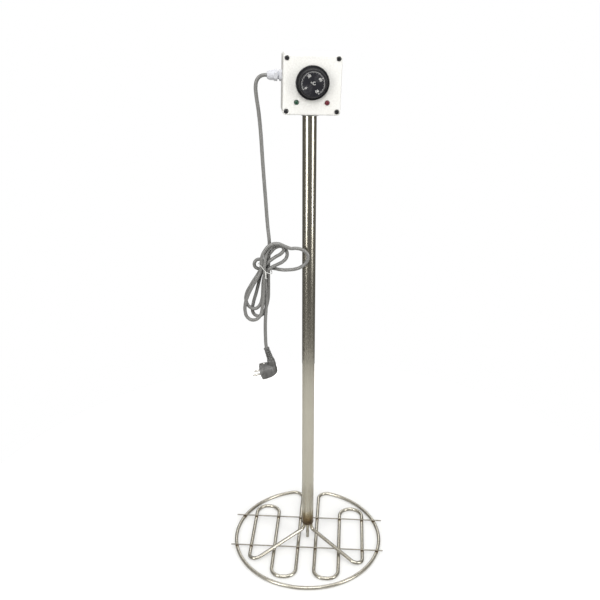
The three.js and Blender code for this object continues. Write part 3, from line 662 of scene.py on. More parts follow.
def box_outline(inset, y, steps=8):
    """The rounded-square outline of the box, drawn in by inset, at depth y."""
    radius = max(BOX_CORNER_R - inset, 0.4)
    centre = BOX_HALF - inset - radius
    ring = []
    for quarter, (sx, sz) in enumerate(((1, 1), (-1, 1), (-1, -1), (1, -1))):
        for k in range(steps + 1):
            a = math.pi / 2 * (quarter + k / steps)
            ring.append(Vector((sx * centre + radius * math.cos(a), y,
                                BOX_MID_Z + sz * centre + radius * math.sin(a))) * MM)
    return ring


def box_half(face, joint, floor_of_cavity):
    """A hollow half of the box, from its outer face to the joint and back inside."""
    way = 1 if joint > face else -1
    steps = 6
    rings = []
    for k in range(steps + 1):
        a = math.pi / 2 * k / steps
        rings.append(box_outline(BOX_EDGE_R * (1 - math.sin(a)),
                                 face + way * BOX_EDGE_R * (1 - math.cos(a))))
    rings += [box_outline(0, joint - way * LIP), box_outline(LIP, joint),
              box_outline(WALL - LIP, joint), box_outline(WALL, joint - way * LIP),
              box_outline(WALL, floor_of_cavity)]
    return loft(rings)


def carved(piece, cutters, operation="DIFFERENCE", sharp=40):
    """Applies a boolean with each cutter and deletes the cutters."""
    for cutter in cutters:
        step = piece.modifiers.new("carve", "BOOLEAN")
        step.operation, step.object, step.solver = operation, cutter, "EXACT"
    bpy.context.view_layer.update()
    graph = bpy.context.evaluated_depsgraph_get()
    mesh = bpy.data.meshes.new_from_object(piece.evaluated_get(graph))
    piece.modifiers.clear()
    piece.data = mesh
    mesh.shade_smooth()
    mesh.set_sharp_from_angle(angle=math.radians(sharp))
    for cutter in cutters:
        bpy.data.objects.remove(cutter)
    bpy.context.view_layer.update()
    return piece


def peg(x, z, radius, near, far, flare=0.0, sides=40):
    """A cutter or boss across the box, from near to far in front of the stem axis.
    A flare opens its far end."""
    return solid("peg", turned([(0, near), (radius, near), (radius, far - 1.0 - flare),
                                (radius + flare, far - 1.0), (radius + flare, far), (0, far)], sides),
                 facing_front(x, z))


def even_shading(piece):
    step = piece.modifiers.new("even_shading", "WEIGHTED_NORMAL")
    step.keep_sharp = True
    step.weight = 100


corners = [(a * SCREW_AT, BOX_MID_Z + b * SCREW_AT) for a, b in ((-1, 1), (1, 1), (-1, -1), (1, -1))]
box_plastic = moulded("box_plastic", BOX_WHITE, BOX_CREAM, BOX_SCUFFED, 0.35,
                      (0.34, 0.46), 1300.0, 0.10, 16.0)[0]

base = solid("base_moulding", box_half(BOX_BACK, BASE_FRONT, BOX_BACK - WALL), head_turn)
carved(base, [peg(x, z, BOSS_R, -BOX_BACK + 1, -BASE_FRONT) for x, z in corners], "UNION")
stem_hole = solid("peg", turned([(0, 1020), (STEM_HOLE_R, 1020), (STEM_HOLE_R, 1036), (0, 1036)]),
                  head_turn)
gland_hole = solid("peg", turned([(0, 50), (GLAND_HOLE_R, 50), (GLAND_HOLE_R, 60), (0, 60)]),
                   facing_left(GLAND_Z))
carved(base, [peg(x, z, SCREW_HOLE_R, -8, 20) for x, z in corners] + [stem_hole, gland_hole])
painted(base, box_plastic)
even_shading(base)
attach(base, "heater")
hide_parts("box_base")

lid = solid("lid_moulding", box_half(BOX_FRONT, LID_BACK, BOX_FRONT + LID_SKIN), head_turn)
carved(lid, [peg(x, z, BOSS_R, -LID_BACK, -BOX_FRONT - 1) for x, z in corners], "UNION")
holes = [peg(x, z, SCREW_HOLE_R, 18, 42) for x, z in corners]
holes += [peg(x, z, SCREW_RECESS_R, 38, 41, RECESS_FLARE) for x, z in corners]
holes += [peg(0, KNOB_Z, SPINDLE_HOLE_R, 30, 42)]
holes += [peg(s * FIXING_X, KNOB_Z, SCREW_HOLE_R, 30, 42) for s in (-1, 1)]
holes += [peg(s * LAMP_X, LAMP_Z, LAMP_HOLE_R, 30, 42) for s in (-1, 1)]
carved(lid, holes)
painted(lid, box_plastic)
even_shading(lid)
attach(lid, "heater")
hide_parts("box_lid")

# ---------------------------------------------------------------------------
# Lid screws. Four dark plastic screws with round cross-slotted heads, sunk into
# shallow recesses at the corners of the lid.

SCREW_HEAD_R = 4
SCREW_SHANK_R = 2
SCREW_SEAT, SCREW_TOP = 38.3, 41.2
SLOT_WIDTH, SLOT_LENGTH, SLOT_DEPTH = 1.1, 4.8, 1.3
SCREW_FIRST_TURN, SCREW_NEXT_TURN = 20, 37
SCREW_BLACK = (0.022, 0.022, 0.024, 1)
SCREW_GREY = (0.032, 0.032, 0.034, 1)


def block(size):
    """A plain block, its three sizes in millimetres."""
    made = bmesh.new()
    bmesh.ops.create_cube(made, size=MM)
    bmesh.ops.scale(made, vec=size, verts=made.verts)
    return made


screw_plastic = moulded("screw_plastic", SCREW_BLACK, SCREW_GREY, (0.10, 0.10, 0.10, 1), 0.5,
                        (0.36, 0.5), 1800.0, 0.15)[0]
for i, (x, z) in enumerate(corners):
    turn = math.radians(SCREW_FIRST_TURN + SCREW_NEXT_TURN * i)
    place = facing_front(x, z) @ Matrix.Rotation(turn, 4, "Z")
    screw = solid("corner_screw_%d" % (i + 1), turned([
        (0, -6), (SCREW_SHANK_R, -6, 0.5), (SCREW_SHANK_R, SCREW_SEAT), (SCREW_HEAD_R, SCREW_SEAT, 0.2),
        (SCREW_HEAD_R, SCREW_TOP - 0.5, 1.1), (SCREW_HEAD_R - 1.2, SCREW_TOP, 1.0), (0, SCREW_TOP)], 48),
        place)
    slots = [solid("peg", block((SLOT_LENGTH, SLOT_WIDTH, 2 * SLOT_DEPTH)),
                   place @ Matrix.Rotation(math.radians(turn), 4, "Z")
                   @ Matrix.Translation((0, 0, SCREW_TOP * MM))) for turn in (0, 90)]
    painted(carved(screw, slots), screw_plastic)
    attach(screw, "heater")
    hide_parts("lid_screw_%d" % (i + 1))

# ---------------------------------------------------------------------------
# Control knob. A black moulded knob with a plain skirt and a steep fluted grip
# for the fingers, pushed on the thermostat spindle. Its flat face holds a disc
# printed with the temperature scale.

KNOB_R, KNOB_FACE_R = 31.5, 24.6
KNOB_BACK, KNOB_TOP = 41.5, 57.5
SHOULDER = 46.5
DIAL_SEAT = 56.6
DIAL_R = 23
FLUTES, FLUTE_DEPTH = 60, 0.45
GRIP_FOOT_R, GRIP_TOP_R = 27.9, 25.6
GRIP_LOW, GRIP_HIGH = 47.3, 56.4
KNOB_BACK_PROFILE = [
    (0, 54.3), (3.3, 54.3), (3.3, KNOB_BACK), (6.5, KNOB_BACK, 0.3), (6.5, 53), (22, 53),
    (23.5, 44.5), (29.5, 44.5), (29.5, KNOB_BACK, 0.3), (KNOB_R, KNOB_BACK, 0.5),
    (KNOB_R, SHOULDER, 1.1), (GRIP_FOOT_R, SHOULDER, 0.4)]
DIAL_RECESS_R = 23.3
KNOB_BLACK = (0.008, 0.008, 0.010, 1)
KNOB_GREY = (0.014, 0.014, 0.016, 1)
# lighter colour for the edges of the knob and the dial: a painted highlight round their rims
KNOB_RUBBED = (0.11, 0.11, 0.115, 1)
KNOB_SHEEN = 0.4
DIAL_BLACK = (0.014, 0.014, 0.018, 1)
DIAL_GREY = (0.019, 0.019, 0.024, 1)


def flutes(angle, z, r):
    if r < KNOB_FACE_R or not GRIP_LOW < z < GRIP_HIGH:
        return 0
    rise = min(1, (z - GRIP_LOW) / 1.5, (GRIP_HIGH - z) / 1.5)
    return -FLUTE_DEPTH * rise * (0.5 - 0.5 * math.cos(FLUTES * angle))


knob_place = facing_front(0, KNOB_Z)
# the knob's edges are lightened strongly, a painted highlight that makes the light ring round its rim
knob_plastic, _, shader = moulded("knob_plastic", KNOB_BLACK, KNOB_GREY, KNOB_RUBBED, 0.8,
                                  (0.32, 0.44), 1500.0, 0.16)
shader.inputs["Specular IOR Level"].default_value = KNOB_SHEEN
grip = [(GRIP_FOOT_R + (GRIP_TOP_R - GRIP_FOOT_R) * k / 9,
         SHOULDER + (KNOB_TOP - 1 - SHOULDER) * k / 9) for k in range(1, 9)]
knob_face = [(GRIP_TOP_R, KNOB_TOP - 1, 0.5), (KNOB_FACE_R, KNOB_TOP, 0.4),
             (DIAL_RECESS_R, KNOB_TOP, 0.3), (DIAL_RECESS_R, DIAL_SEAT), (0, DIAL_SEAT)]
knob = painted(solid("control_knob", turned(KNOB_BACK_PROFILE + grip + knob_face, FLUTES * 6, flutes),
                     knob_place, 30), knob_plastic)
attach(knob, "knob")
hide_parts("knob")

# the dial's rim is lightened the same way, a painted highlight
dial_black, _, shader = moulded("dial_black", DIAL_BLACK, DIAL_GREY, KNOB_RUBBED, 0.3,
                                (0.30, 0.38), 2200.0, 0.06)
shader.inputs["Specular IOR Level"].default_value = KNOB_SHEEN
dial = painted(solid("dial_face", turned([
    (0, DIAL_SEAT + 0.3), (DIAL_R, DIAL_SEAT + 0.3, 0.1), (DIAL_R, KNOB_TOP, 0.15), (0, KNOB_TOP)],
    120), knob_place), dial_black)
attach(dial, "knob")
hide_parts("dial_disc")

# ---------------------------------------------------------------------------
# Dial print. White ink on the disc: a scale of short strokes through three
# quarters of a turn, four temperatures, and the unit in the middle.

INK_T = 0.06
SCALE_START, SCALE_END = 210, -60
SCALE_STEPS = 54
SCALE_IN, SCALE_OUT = 21.6, 21.75
LONG_EVERY, MIDDLE_EVERY = 18, 3
LONG_IN, MIDDLE_IN, SHORT_IN = 18.4, 19.3, 20.2
LONG_HALF_WIDTH, HALF_WIDTH = 1.1, 0.6
MARKS = ((0, 210), (30, 120), (60, 30), (90, -60))
NUMERAL_R, NUMERAL_SIZE = 15.0, 6.8
UNIT_SIZE, UNIT_TURN = 8.5, math.radians(8)
INK_SPREAD = 0.12
INK_WHITE = (0.80, 0.80, 0.78, 1)
INK_GREY = (0.52, 0.52, 0.51, 1)

dial_ink = moulded("dial_ink", INK_WHITE, INK_GREY, INK_GREY, 0.2, (0.42, 0.55), 1800.0, 0.1, 120.0)[0]


def ink_patch(skin, inner, outer, start, end, steps):
    """A printed sector between two radii and two angles in degrees."""
    rows = []
    for k in range(steps + 1):
        a = math.radians(start + (end - start) * k / steps)
        rows.append([skin.verts.new(Vector((r * math.cos(a), r * math.sin(a), z)) * MM)
                     for r, z in ((inner, KNOB_TOP), (outer, KNOB_TOP),
                                  (outer, KNOB_TOP + INK_T), (inner, KNOB_TOP + INK_T))])
    for low, high in zip(rows, rows[1:]):
        for i in range(4):
            j = (i + 1) % 4
            skin.faces.new((low[i], low[j], high[j], high[i]))
    skin.faces.new(rows[0][::-1])
    skin.faces.new(rows[-1])


print_skin = bmesh.new()
ink_patch(print_skin, SCALE_IN, SCALE_OUT, SCALE_START, SCALE_END, 120)
for k in range(SCALE_STEPS + 1):
    angle = SCALE_START + (SCALE_END - SCALE_START) * k / SCALE_STEPS
    long, middling = k % LONG_EVERY == 0, k % MIDDLE_EVERY == 0
    width = LONG_HALF_WIDTH if long else HALF_WIDTH
    inner = LONG_IN if long else (MIDDLE_IN if middling else SHORT_IN)
    ink_patch(print_skin, inner, SCALE_IN + 0.02, angle - width, angle + width, 2)
scale = painted(solid("dial_scale", print_skin, knob_place), dial_ink)
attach(scale, "knob")


def printed(name, words, size, place):
    """Words or numbers in raised ink, centred at the placement."""
    letters = bpy.data.curves.new(name, "FONT")
    letters.body, letters.size = words, size * MM
    letters.align_x, letters.align_y = "CENTER", "CENTER"
    letters.extrude = INK_T / 2 * MM
    letters.offset = INK_SPREAD * MM
    made = shown(bpy.data.objects.new(name, letters))
    made.matrix_world = place @ Matrix.Translation((0, 0, (KNOB_TOP + INK_T / 2) * MM))
    bpy.context.view_layer.update()
    graph = bpy.context.evaluated_depsgraph_get()
    mesh = bpy.data.meshes.new_from_object(made.evaluated_get(graph))
    flat = shown(bpy.data.objects.new(name, mesh))
    flat.matrix_world = made.matrix_world
    bpy.data.objects.remove(made)
    return painted(flat, dial_ink)


for value, angle in MARKS:
    a = math.radians(angle)
    at = Matrix.Translation(Vector((NUMERAL_R * math.cos(a), NUMERAL_R * math.sin(a), 0)) * MM)
    numeral = printed("dial_%d" % value, str(value), NUMERAL_SIZE,
                      knob_place @ at @ Matrix.Rotation(a - math.pi / 2, 4, "Z"))
    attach(numeral, "knob")
unit = printed("dial_unit", "°C", UNIT_SIZE, knob_place @ Matrix.Rotation(UNIT_TURN, 4, "Z"))
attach(unit, "knob")

# ---------------------------------------------------------------------------
# Lamps. Two small moulded lenses in the lid under the knob: green for power on
# the left, red for heating on the right. Each has a rim and a domed top.

LENS_R = 4.1
LENS_FACE = 40.3
LENS_BACK = 32.3
LENS_TOP = 43.5
RIM_WIDTH, DOME_HEIGHT = 0.7, 2.4
LAMP_COLOURS = (
    ("green", -1, (0.010, 0.075, 0.035, 1), (0.006, 0.040, 0.018, 1)),
    ("red", 1, (0.155, 0.006, 0.020, 1), (0.085, 0.004, 0.011, 1)))


def facets(angle, z, r):
    return 0.10 * math.cos(16 * angle) if LENS_FACE + 1 < z < LENS_TOP - 0.5 and r > 1 else 0


for colour_name, side, colour, deep in LAMP_COLOURS:
    lens_plastic, _, shader = moulded("lens_" + colour_name, colour, deep, deep, 0.3,
                                      (0.10, 0.18), 900.0, 0.04, 300.0)
    shader.inputs["Coat Weight"].default_value = 0.6
    shader.inputs["Coat Roughness"].default_value = 0.08
    dome = [(LENS_R * math.cos(a), LENS_FACE + 0.8 + DOME_HEIGHT * math.sin(a))
            for a in map(math.radians, range(0, 90, 9))]
    lens = painted(solid("lamp_" + colour_name, turned(
        [(0, LENS_BACK), (LENS_R, LENS_BACK, 0.2), (LENS_R, LENS_FACE),
         (LENS_R + RIM_WIDTH, LENS_FACE, 0.1), (LENS_R + RIM_WIDTH, LENS_FACE + 0.7, 0.3),
         (LENS_R + 0.05, LENS_FACE + 0.8)] + dome
        + [(0, LENS_FACE + 3.2)], 64, facets), facing_front(side * LAMP_X, LAMP_Z)), lens_plastic)
    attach(lens, "heater")
    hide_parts("lamp_lens_" + colour_name)

# ---------------------------------------------------------------------------
# Cable gland. A light grey nylon fitting in the left wall: a hexagon tight
# against the box, a short threaded neck, and a domed nut that grips the lead.

GLAND_FLATS = 19
HEX_IN, HEX_OUT = 55.3, 60.1
NUT_IN, NUT_HEX_OUT, NUT_OUT = 63.5, 70.0, 83.5
NECK_R = 7.5
THREAD_PITCH, THREAD_DEPTH = 1.5, 0.5
NUT_RIBS, RIB_HEIGHT = 18, 0.22
NUT_DOME = (
    (0, NUT_IN + 1), (9.2, NUT_IN + 1), (9.2, NUT_HEX_OUT), (9.2, 75.5, 2.5), (8.5, 79, 3),
    (7, 82.3, 1.2), (5.8, NUT_OUT, 0.5), (3.9, NUT_OUT, 0.4), (3.9, 80.2), (0, 80.2))
NUT_BORE = ((0, 60), (7.8, 60), (7.8, 80.4), (3.9, 80.4), (3.9, 85), (0, 85))
GLAND_TONE = (0.66, 0.67, 0.71, 1)
GLAND_SECOND = (0.60, 0.61, 0.65, 1)

gland_plastic = moulded("gland_plastic", GLAND_TONE, GLAND_SECOND, (0.76, 0.76, 0.78, 1), 0.4,
                        (0.32, 0.44), 1500.0, 0.12)[0]


def hexagon(low, high, place):
    """A hexagon bar with its corners turned off at both ends."""
    corner = GLAND_FLATS / math.sqrt(3)
    bar = solid("hexagon", turned([(0, low), (corner, low), (corner, high), (0, high)], 6), place, 20)
    chamfer = solid("peg", turned([(0, low), (corner - 1, low), (corner + 0.2, low + 0.9),
                                   (corner + 0.2, high - 0.9), (corner - 1, high), (0, high)], 64), place)
    return carved(bar, [chamfer], "INTERSECT", 20)


def nut_ribs(angle, z, r):
    if r < 6 or not NUT_HEX_OUT + 0.6 < z < NUT_OUT - 3:
        return 0
    return RIB_HEIGHT * math.cos(NUT_RIBS * angle)


gland_place = facing_left(GLAND_Z)
threads = [(NECK_R - (THREAD_DEPTH if k % 2 else 0), HEX_OUT - 0.5 + k * THREAD_PITCH / 2, 0.15)
           for k in range(9)]
neck = solid("peg", turned([(0, 45.5), (8, 45.5, 0.5), (8, HEX_IN + 0.5)] + threads
                           + [(NECK_R - THREAD_DEPTH, 70), (0, 70)], 64), gland_place)
bore = solid("peg", turned([(0, 40), (4.5, 40), (4.5, 74), (0, 74)]), gland_place)
fitting = carved(hexagon(HEX_IN, HEX_OUT, gland_place), [neck], "UNION", 30)
fitting.name = "gland_fitting"
painted(carved(fitting, [bore], sharp=30), gland_plastic)
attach(fitting, "heater")
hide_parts("gland_body")

dome = solid("peg", turned(NUT_DOME, NUT_RIBS * 6, nut_ribs), gland_place)
bore = solid("peg", turned(NUT_BORE), gland_place)
nut = carved(hexagon(NUT_IN, NUT_HEX_OUT, gland_place), [dome], "UNION", 30)
nut.name = "gland_cap_nut"
painted(carved(nut, [bore], sharp=30), gland_plastic)
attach(nut, "heater")
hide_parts("gland_nut")

# ---------------------------------------------------------------------------
# Mains lead. A round grey PVC lead drops from the gland beside the stem. Most
# of it is folded three times into a loose hank with one loop thrown round in
# front of the stem, and its end hangs straight down to the plug.

CORD_D = 7.2
CORD_GREY = (0.245, 0.243, 0.234, 1)
CORD_DARK = (0.165, 0.163, 0.156, 1)
CORD_RUBBED = (0.36, 0.36, 0.35, 1)
CORD_EXIT = (-81.25, -11.42, 1101.17)
FALL = [
    CORD_EXIT, (-86.2, -12.2, 1101.2), (-93.8, -12.8, 1098.5), (-99.9, -13.2, 1091.6),
    (-102.5, -13.4, 1080), (-101.6, -13.5, 1063), (-98, -13.5, 1035), (-95, -13.4, 1000),
    (-91.5, -13.2, 930), (-87.5, -12.8, 860), (-84, -12.3, 800), (-81.5, -12, 771.2)]
BACK_FOLD = [
    (-82.3, -6.5, 757), (-83.5, -2.2, 742), (-84.3, -2.2, 728), (-84.6, -5.4, 715),
    (-84.8, -6.8, 703), (-85.2, -6.2, 684), (-85.6, -5.2, 660), (-86.6, -4.8, 640),
    (-90.6, -4.7, 621), (-96.2, -4.7, 606), (-103.5, -4.7, 598.6), (-112.2, -4.8, 597.8),
    (-119.2, -5, 604), (-121, -5.2, 614), (-118.4, -5.5, 630), (-112, -5.9, 652),
    (-104, -6.6, 684), (-98.8, -6.9, 704)]
INNER_EYE = [
    (-94.8, -8.2, 718), (-87, -9.4, 733), (-77.5, -9.2, 747), (-66, -8.8, 757),
    (-54, -8.8, 757.8), (-45.8, -9.2, 748), (-46.2, -10, 735), (-54, -11.4, 726),
    (-66, -12.8, 719.5), (-79, -13.8, 712.5), (-89.5, -13.9, 702)]
MIDDLE_FOLD = [
    (-95.2, -13.6, 682), (-97, -13, 660), (-99.2, -12.4, 640), (-106, -12, 623.5),
    (-116, -12, 617.5), (-126.5, -12.2, 622), (-133, -12.4, 634.5), (-132.5, -12.7, 650),
    (-121, -13.2, 674), (-108, -13.7, 695), (-99.5, -13.9, 709)]
MIDDLE_EYE = [
    (-90, -14, 719.5), (-79, -14.5, 729.5), (-67.5, -15.2, 738.2), (-57, -15.6, 745.2),
    (-51.6, -15.6, 753.2), (-55, -14.8, 761.2), (-64, -13.9, 764.4), (-74.5, -14, 761.4),
    (-83, -14.7, 753), (-88.5, -17.2, 739),
    (-91.4, -20.5, 720), (-91.8, -21, 704)]
FRONT_FOLD = [
    (-93, -20.8, 684), (-94.6, -20.4, 655), (-97.6, -19.9, 625), (-104.5, -19.4, 602),
    (-118, -19.2, 593.8), (-130, -19.4, 599.5), (-134.8, -19.6, 613), (-134.2, -19.8, 631),
    (-128, -20.1, 651), (-117.5, -20.5, 673), (-106.5, -20.8, 692.5), (-99.8, -20.9, 708)]
OUTER_EYE = [
    (-98, -20.9, 722), (-97, -20.9, 736), (-91, -20.8, 751), (-79, -20.6, 764.5),
    (-63.5, -20.2, 768.2), (-49, -19.5, 762.5)]
STEM_LOOP = [
    (-36, -19, 757.9), (-27, -19.3, 758.6), (-14, -19.6, 756.4),
    (-4.5, -19.9, 750.2), (-0.6, -20, 741), (-3.2, -19.8, 730.6), (-11.5, -19.3, 720.6),
    (-24, -18.8, 713.8), (-40, -17.9, 710.6), (-56, -14.6, 709), (-67, -7.8, 708)]
SMALL_LOOP = [
    (-76.5, -1.8, 707.2), (-85, 0.3, 706.5), (-93, 0.3, 705.8), (-101.5, -0.6, 705),
    (-109.8, -2.2, 706.8), (-114.6, -3, 713), (-113.6, -3, 721), (-106.5, -2, 726.6),
    (-98.2, -1.2, 724)]
TAIL = [
    (-92.4, -2.6, 714), (-92, -6.6, 701), (-91.8, -7.4, 685), (-90.7, -10.3, 668),
    (-89.7, -12.6, 648), (-90, -12.8, 630), (-91.2, -12, 612), (-93, -9.6, 590),
    (-93.6, -9.4, 570),
    (-93.4, -10.4, 550), (-92, -11.9, 526.6), (-90.4, -12, 520)]


def round_curve(name, radius, roundness):
    """An empty curve with a round section and closed ends."""
    made = bpy.data.curves.new(name, "CURVE")
    made.dimensions = "3D"
    made.bevel_depth = radius * MM
    made.bevel_resolution = roundness
    made.use_fill_caps = True
    return made


def strand(curve, points, closed=False):
    """A smooth strand of the curve through points in millimetres."""
    spline = curve.splines.new("BEZIER")
    spline.bezier_points.add(len(points) - 1)
    spline.use_cyclic_u = closed
    for knot, at in zip(spline.bezier_points, points):
        knot.co = Vector(at) * MM
        knot.handle_left_type = knot.handle_right_type = "AUTO"


cord_pvc = moulded("cord_pvc", CORD_GREY, CORD_DARK, CORD_RUBBED, 0.3,
                   (0.24, 0.36), 1100.0, 0.08, 26.0)[0]
route = (FALL + BACK_FOLD + INNER_EYE + MIDDLE_FOLD + MIDDLE_EYE + FRONT_FOLD + OUTER_EYE
         + STEM_LOOP + SMALL_LOOP + TAIL)
lead_curve = round_curve("mains_lead", CORD_D / 2, 8)
lead_curve.resolution_u = 8
strand(lead_curve, route)
lead = shown(bpy.data.objects.new("mains_lead", lead_curve))
painted(lead, cord_pvc)
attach(lead, "heater")
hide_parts("cord_upper", "cord_side_loop", "cord_hank", "cord_tail")

# ---------------------------------------------------------------------------
# Twist tie. A paper-covered wire, once round the waist of the hank, with its
# two ends twisted together in front.

TIE_R = 0.75
TIE_LOOP = [
    (-99.5, -25.4, 720.5), (-93.5, -25.7, 714), (-88.6, -25.9, 708), (-82.5, -24.6, 704),
    (-78.2, -20, 701.4), (-77.4, -10, 700), (-79.5, 0.5, 700.6), (-86, 4.6, 704.5),
    (-96, 4.6, 712), (-102.6, 0.5, 717.5), (-104.6, -10, 720.4), (-104, -21, 721.6)]
TWIST_TOP, TWIST_END = (-88.6, -26.7, 708), (-88.2, -27.0, 693)
TWIST_TURNS, TWIST_R = 3.5, 0.85
TWIST_KNOTS = 24
TWIST_PARTS, TWIST_FLARE = 0.88, 1.6
PAPER_WHITE = (0.78, 0.78, 0.75, 1)
PAPER_GREY = (0.62, 0.62, 0.60, 1)

tie_paper = moulded("tie_paper", PAPER_WHITE, PAPER_GREY, PAPER_WHITE, 0.2,
                    (0.55, 0.7), 1600.0, 0.25, 200.0)[0]
tie_curve = round_curve("twist_tie", TIE_R, 5)
strand(tie_curve, TIE_LOOP, closed=True)
for start in (0, math.pi):
    twisted = []
    for k in range(TWIST_KNOTS):
        t = k / (TWIST_KNOTS - 1)
        a = start + 2 * math.pi * TWIST_TURNS * t
        spread = TWIST_R * (1 + TWIST_FLARE * max(0, t - TWIST_PARTS) / 0.12)
        middle = Vector(TWIST_TOP).lerp(Vector(TWIST_END), t)
        twisted.append(middle + Vector((math.cos(a) * spread, math.sin(a) * spread, 0)))
    strand(tie_curve, twisted)
tie = shown(bpy.data.objects.new("twist_tie_wire", tie_curve))
painted(tie, tie_paper)
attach(tie, "heater")
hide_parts("twist_tie")

# ---------------------------------------------------------------------------
# Plug. An angled two-pin plug moulded on the end of the lead in darker grey PVC.
# Earth clips lie in slots at its top and bottom, and a slotted sleeve lets the
# lead bend where it comes out of the neck.

PLUG_AT = (-103.4, -12, 465)
PLUG_LEAN = math.radians(-17.5)
PLUG_R, PLUG_DEPTH = 18.5, 36
NECK_X, PLUG_NECK_R, NECK_TOP = 29, 8.5, 23
RELIEF_TOP = 53.6
PIN_R, PIN_LENGTH, PIN_SPREAD = 2.4, 19, 9.5
CLIP_SIZE, CLIP_BOW, CLIP_EDGE = (12, 6, 1), 0.9, 0.2
CLIP_SLOT = (15, 6.8, 3.2)
SOCKET_PROFILE = ((0, -4), (2.5, -4), (2.5, 13), (0, 13))
SLEEVE_R = 7.4
GRIP_RIB_DEPTH, GRIP_RIB_PITCH = 0.45, 2.5
SLEEVE_SLOTS = (29.8, 34.2, 38.6, 43.0, 47.4)
SLOT_HALF, SLOT_SINK = 1.35, 2.3
PLUG_GREY = (0.115, 0.114, 0.110, 1)
PLUG_DARK = (0.075, 0.074, 0.071, 1)
# lighter colour for the edges of the plug and its sleeve: a painted highlight on their rims and ribs
PLUG_RUBBED = (0.42, 0.42, 0.41, 1)
PLATED = (0.60, 0.585, 0.55, 1)
PLATED_SECOND = (0.50, 0.48, 0.44, 1)

# the plug's and the sleeve's edges are lightened strongly, a painted highlight that makes the light stripes
# on the ribs
plug_pvc = moulded("plug_pvc", PLUG_GREY, PLUG_DARK, PLUG_RUBBED, 0.75,
                   (0.30, 0.44), 1200.0, 0.16, 60.0)[0]
plug_metal = metal("plug_metal", PLATED, PLATED_SECOND, (0.18, 0.3), (900, 900, 900), 0.12, 120.0)[0]
plug_place = Matrix.Translation(Vector(PLUG_AT) * MM) @ Matrix.Rotation(PLUG_LEAN, 4, "Y")
pin_axis = plug_place @ Matrix.Rotation(math.pi / 2, 4, "Y")


def grips(angle, z, r):
    """Shallow finger ribs on the two sides of the plug body."""
    side = abs(math.sin(angle))
    if side < 0.55 or not 12 < z < 27:
        return 0
    wave = 0.5 - 0.5 * math.cos(2 * math.pi * (z - 12) / GRIP_RIB_PITCH)
    return -GRIP_RIB_DEPTH * wave * min(1, (side - 0.55) / 0.2)


rows = [(18.2 - 1.0 * k / 6, 10.5 + k * 0.55) for k in range(4)]
rows += [(17.9 - 0.0146 * (k * 0.55) ** 2, 12 + k * 0.55) for k in range(1, 28)]
face = [(0, 0.6), (16.2, 0.6, 0.3), (16.9, 0, 0.3), (PLUG_R, 0, 0.8), (PLUG_R, 10, 0.5)]
back = [(12.6, 31, 1), (9, 34.3, 2), (3, PLUG_DEPTH, 2), (0, PLUG_DEPTH)]
plug_body = solid("plug_moulding", turned(face + rows + back, 96, grips), pin_axis)
plug_neck = solid("peg", turned([(0, 2), (9.6, 2), (9.2, 14, 3), (PLUG_NECK_R, 19, 1),
                                 (PLUG_NECK_R, NECK_TOP, 0.7), (0, NECK_TOP)], 64),
                  plug_place @ Matrix.Translation((26.5 * MM, 0, 0)) @ Matrix.Rotation(0.11, 4, "Y"))
carved(plug_body, [plug_neck], "UNION")
sockets = [solid("peg", turned(SOCKET_PROFILE, 32), plug_place
                 @ Matrix.Translation((0, 0, -9.5 * MM)) @ Matrix.Rotation(math.pi / 2, 4, "Y"))]
sockets += [solid("peg", block(CLIP_SLOT), plug_place @ Matrix.Translation(
    Vector((5.6, 0, s * (PLUG_R - 0.4))) * MM)) for s in (-1, 1)]
painted(carved(plug_body, sockets), plug_pvc)
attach(plug_body, "heater")
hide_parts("plug_body")


def sleeve_slots(angle, z, r):
    """Pairs of slots through the sleeve, each pair a quarter turn from the last."""
    for i, middle in enumerate(SLEEVE_SLOTS):
        if abs(z - middle) < SLOT_HALF and r > 4:
            facing = abs(math.cos(angle + (math.pi / 2 if i % 2 else 0)))
            depth = SLOT_SINK * min(1, max(0, (facing - 0.15) / 0.15))
            return -depth * min(1, (SLOT_HALF - abs(z - middle)) / 0.3)
    return 0


def sleeve_r(z):
    return SLEEVE_R if z < 27 else 7.1 - 1.3 * (z - 27) / (50.5 - 27)


sleeve_rows = [(sleeve_r(z), z) for z in [26.8 + 0.3 * k for k in range(1, 79)]]
relief = painted(solid("plug_sleeve", turned(
    [(0, NECK_TOP + 0.3), (SLEEVE_R, NECK_TOP + 0.3, 0.4), (SLEEVE_R, 26.6, 0.3)] + sleeve_rows
    + [(5.4, 50.8), (6.3, 51.2, 0.3), (6.3, 52.8, 0.5), (4.6, RELIEF_TOP, 0.3), (0, RELIEF_TOP)],
    72, sleeve_slots), plug_place @ Matrix.Translation((NECK_X * MM, 0, 0)), 50), plug_pvc)
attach(relief, "heater")
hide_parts("plug_relief")

for name, s in (("left", -1), ("right", 1)):
    pin = painted(solid("pin_" + name, turned([
        (0, -1.5), (PIN_R, -1.5), (PIN_R, PIN_LENGTH - 1.6, 0.6), (PIN_R - 1.3, PIN_LENGTH, 0.6),
        (0, PIN_LENGTH)], 40),
        plug_place @ Matrix.Translation((0, s * PIN_SPREAD * MM, 0))
        @ Matrix.Rotation(-math.pi / 2, 4, "Y")), plug_metal)
    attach(pin, "heater")
    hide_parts("plug_pin_" + name)
for name, s in (("upper", 1), ("lower", -1)):
    strip = block(CLIP_SIZE)
    bmesh.ops.subdivide_edges(strip, edges=strip.edges, cuts=9, use_grid_fill=True)
    for vert in strip.verts:
        t = vert.co.x / (CLIP_SIZE[0] * MM / 2)
        vert.co.z += s * CLIP_BOW * MM * (1 - t * t)
    rim = [edge for edge in strip.edges if edge.calc_face_angle(0) > 1]
    bmesh.ops.bevel(strip, geom=rim, offset=CLIP_EDGE * MM, segments=2, affect="EDGES")
    clip = painted(solid("earth_strip_" + name, strip, plug_place @ Matrix.Translation(
        Vector((6, 0, s * (PLUG_R - 1.4))) * MM)), plug_metal)
    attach(clip, "heater")
    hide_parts("earth_clip_" + name)

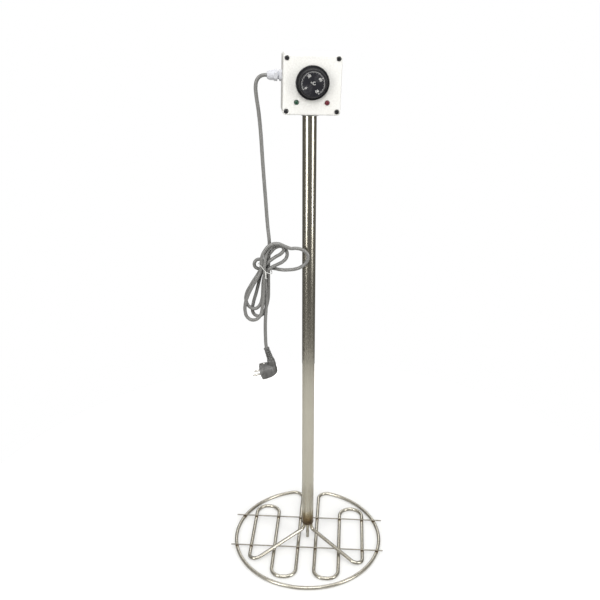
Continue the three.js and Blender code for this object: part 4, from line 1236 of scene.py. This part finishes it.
# ---------------------------------------------------------------------------
# Inside the box. The thermostat with its spindle and bulb, the terminals on the
# ends of the element, the terminal block and its three leads, the lamp holders,
# the lock nut and the seals are the CAD solids, each in its own finish.

CERAMIC_TONE, CERAMIC_SECOND = (0.80, 0.76, 0.66, 1), (0.70, 0.65, 0.55, 1)
COPPER_TONE, COPPER_SECOND = (0.60, 0.40, 0.20, 1), (0.45, 0.28, 0.14, 1)
LEAD_TONES = {
    "live": ((0.12, 0.055, 0.025, 1), (0.09, 0.04, 0.02, 1)),
    "neutral": ((0.035, 0.12, 0.38, 1), (0.025, 0.09, 0.30, 1)),
    "earth": ((0.26, 0.42, 0.05, 1), (0.20, 0.33, 0.04, 1))}

ceramic = moulded("ceramic", CERAMIC_TONE, CERAMIC_SECOND, CERAMIC_TONE, 0.2,
                  (0.22, 0.34), 1200.0, 0.1)[0]
copper_alloy = metal("copper_alloy", COPPER_TONE, COPPER_SECOND, (0.26, 0.42), (700, 700, 60), 0.2, 60.0)[0]
block_plastic = moulded("block_plastic", BOX_CREAM, BOX_SCUFFED, BOX_SCUFFED, 0.3,
                        (0.4, 0.5), 1300.0, 0.15)[0]
inside = {
    zinc: ("terminal_pin_left", "terminal_pin_right", "stem_locknut", "thermostat_body",
           "thermostat_screw_left", "thermostat_screw_right", "thermostat_spindle"),
    rubber: ("lid_seal", "gland_seal"),
    copper_alloy: ("sensor_bulb", "capillary_tube"),
    ceramic: ("terminal_bush_left", "terminal_bush_right"),
    knob_plastic: ("lamp_holder_green", "lamp_holder_red"),
    gland_plastic: ("gland_locknut",),
    cord_pvc: ("cord_entry",),
    block_plastic: ("terminal_block",)}
for pole, (tone, second) in LEAD_TONES.items():
    sleeve = moulded("lead_" + pole, tone, second, tone, 0.2, (0.4, 0.5), 1300.0, 0.1, 90.0)[0]
    inside[sleeve] = ("lead_" + pole,)
for material, names in inside.items():
    for name in names:
        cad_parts[name].material_slots[0].material = material

# ---------------------------------------------------------------------------
# Bounds of the finished model, without the floor.

low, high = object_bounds()
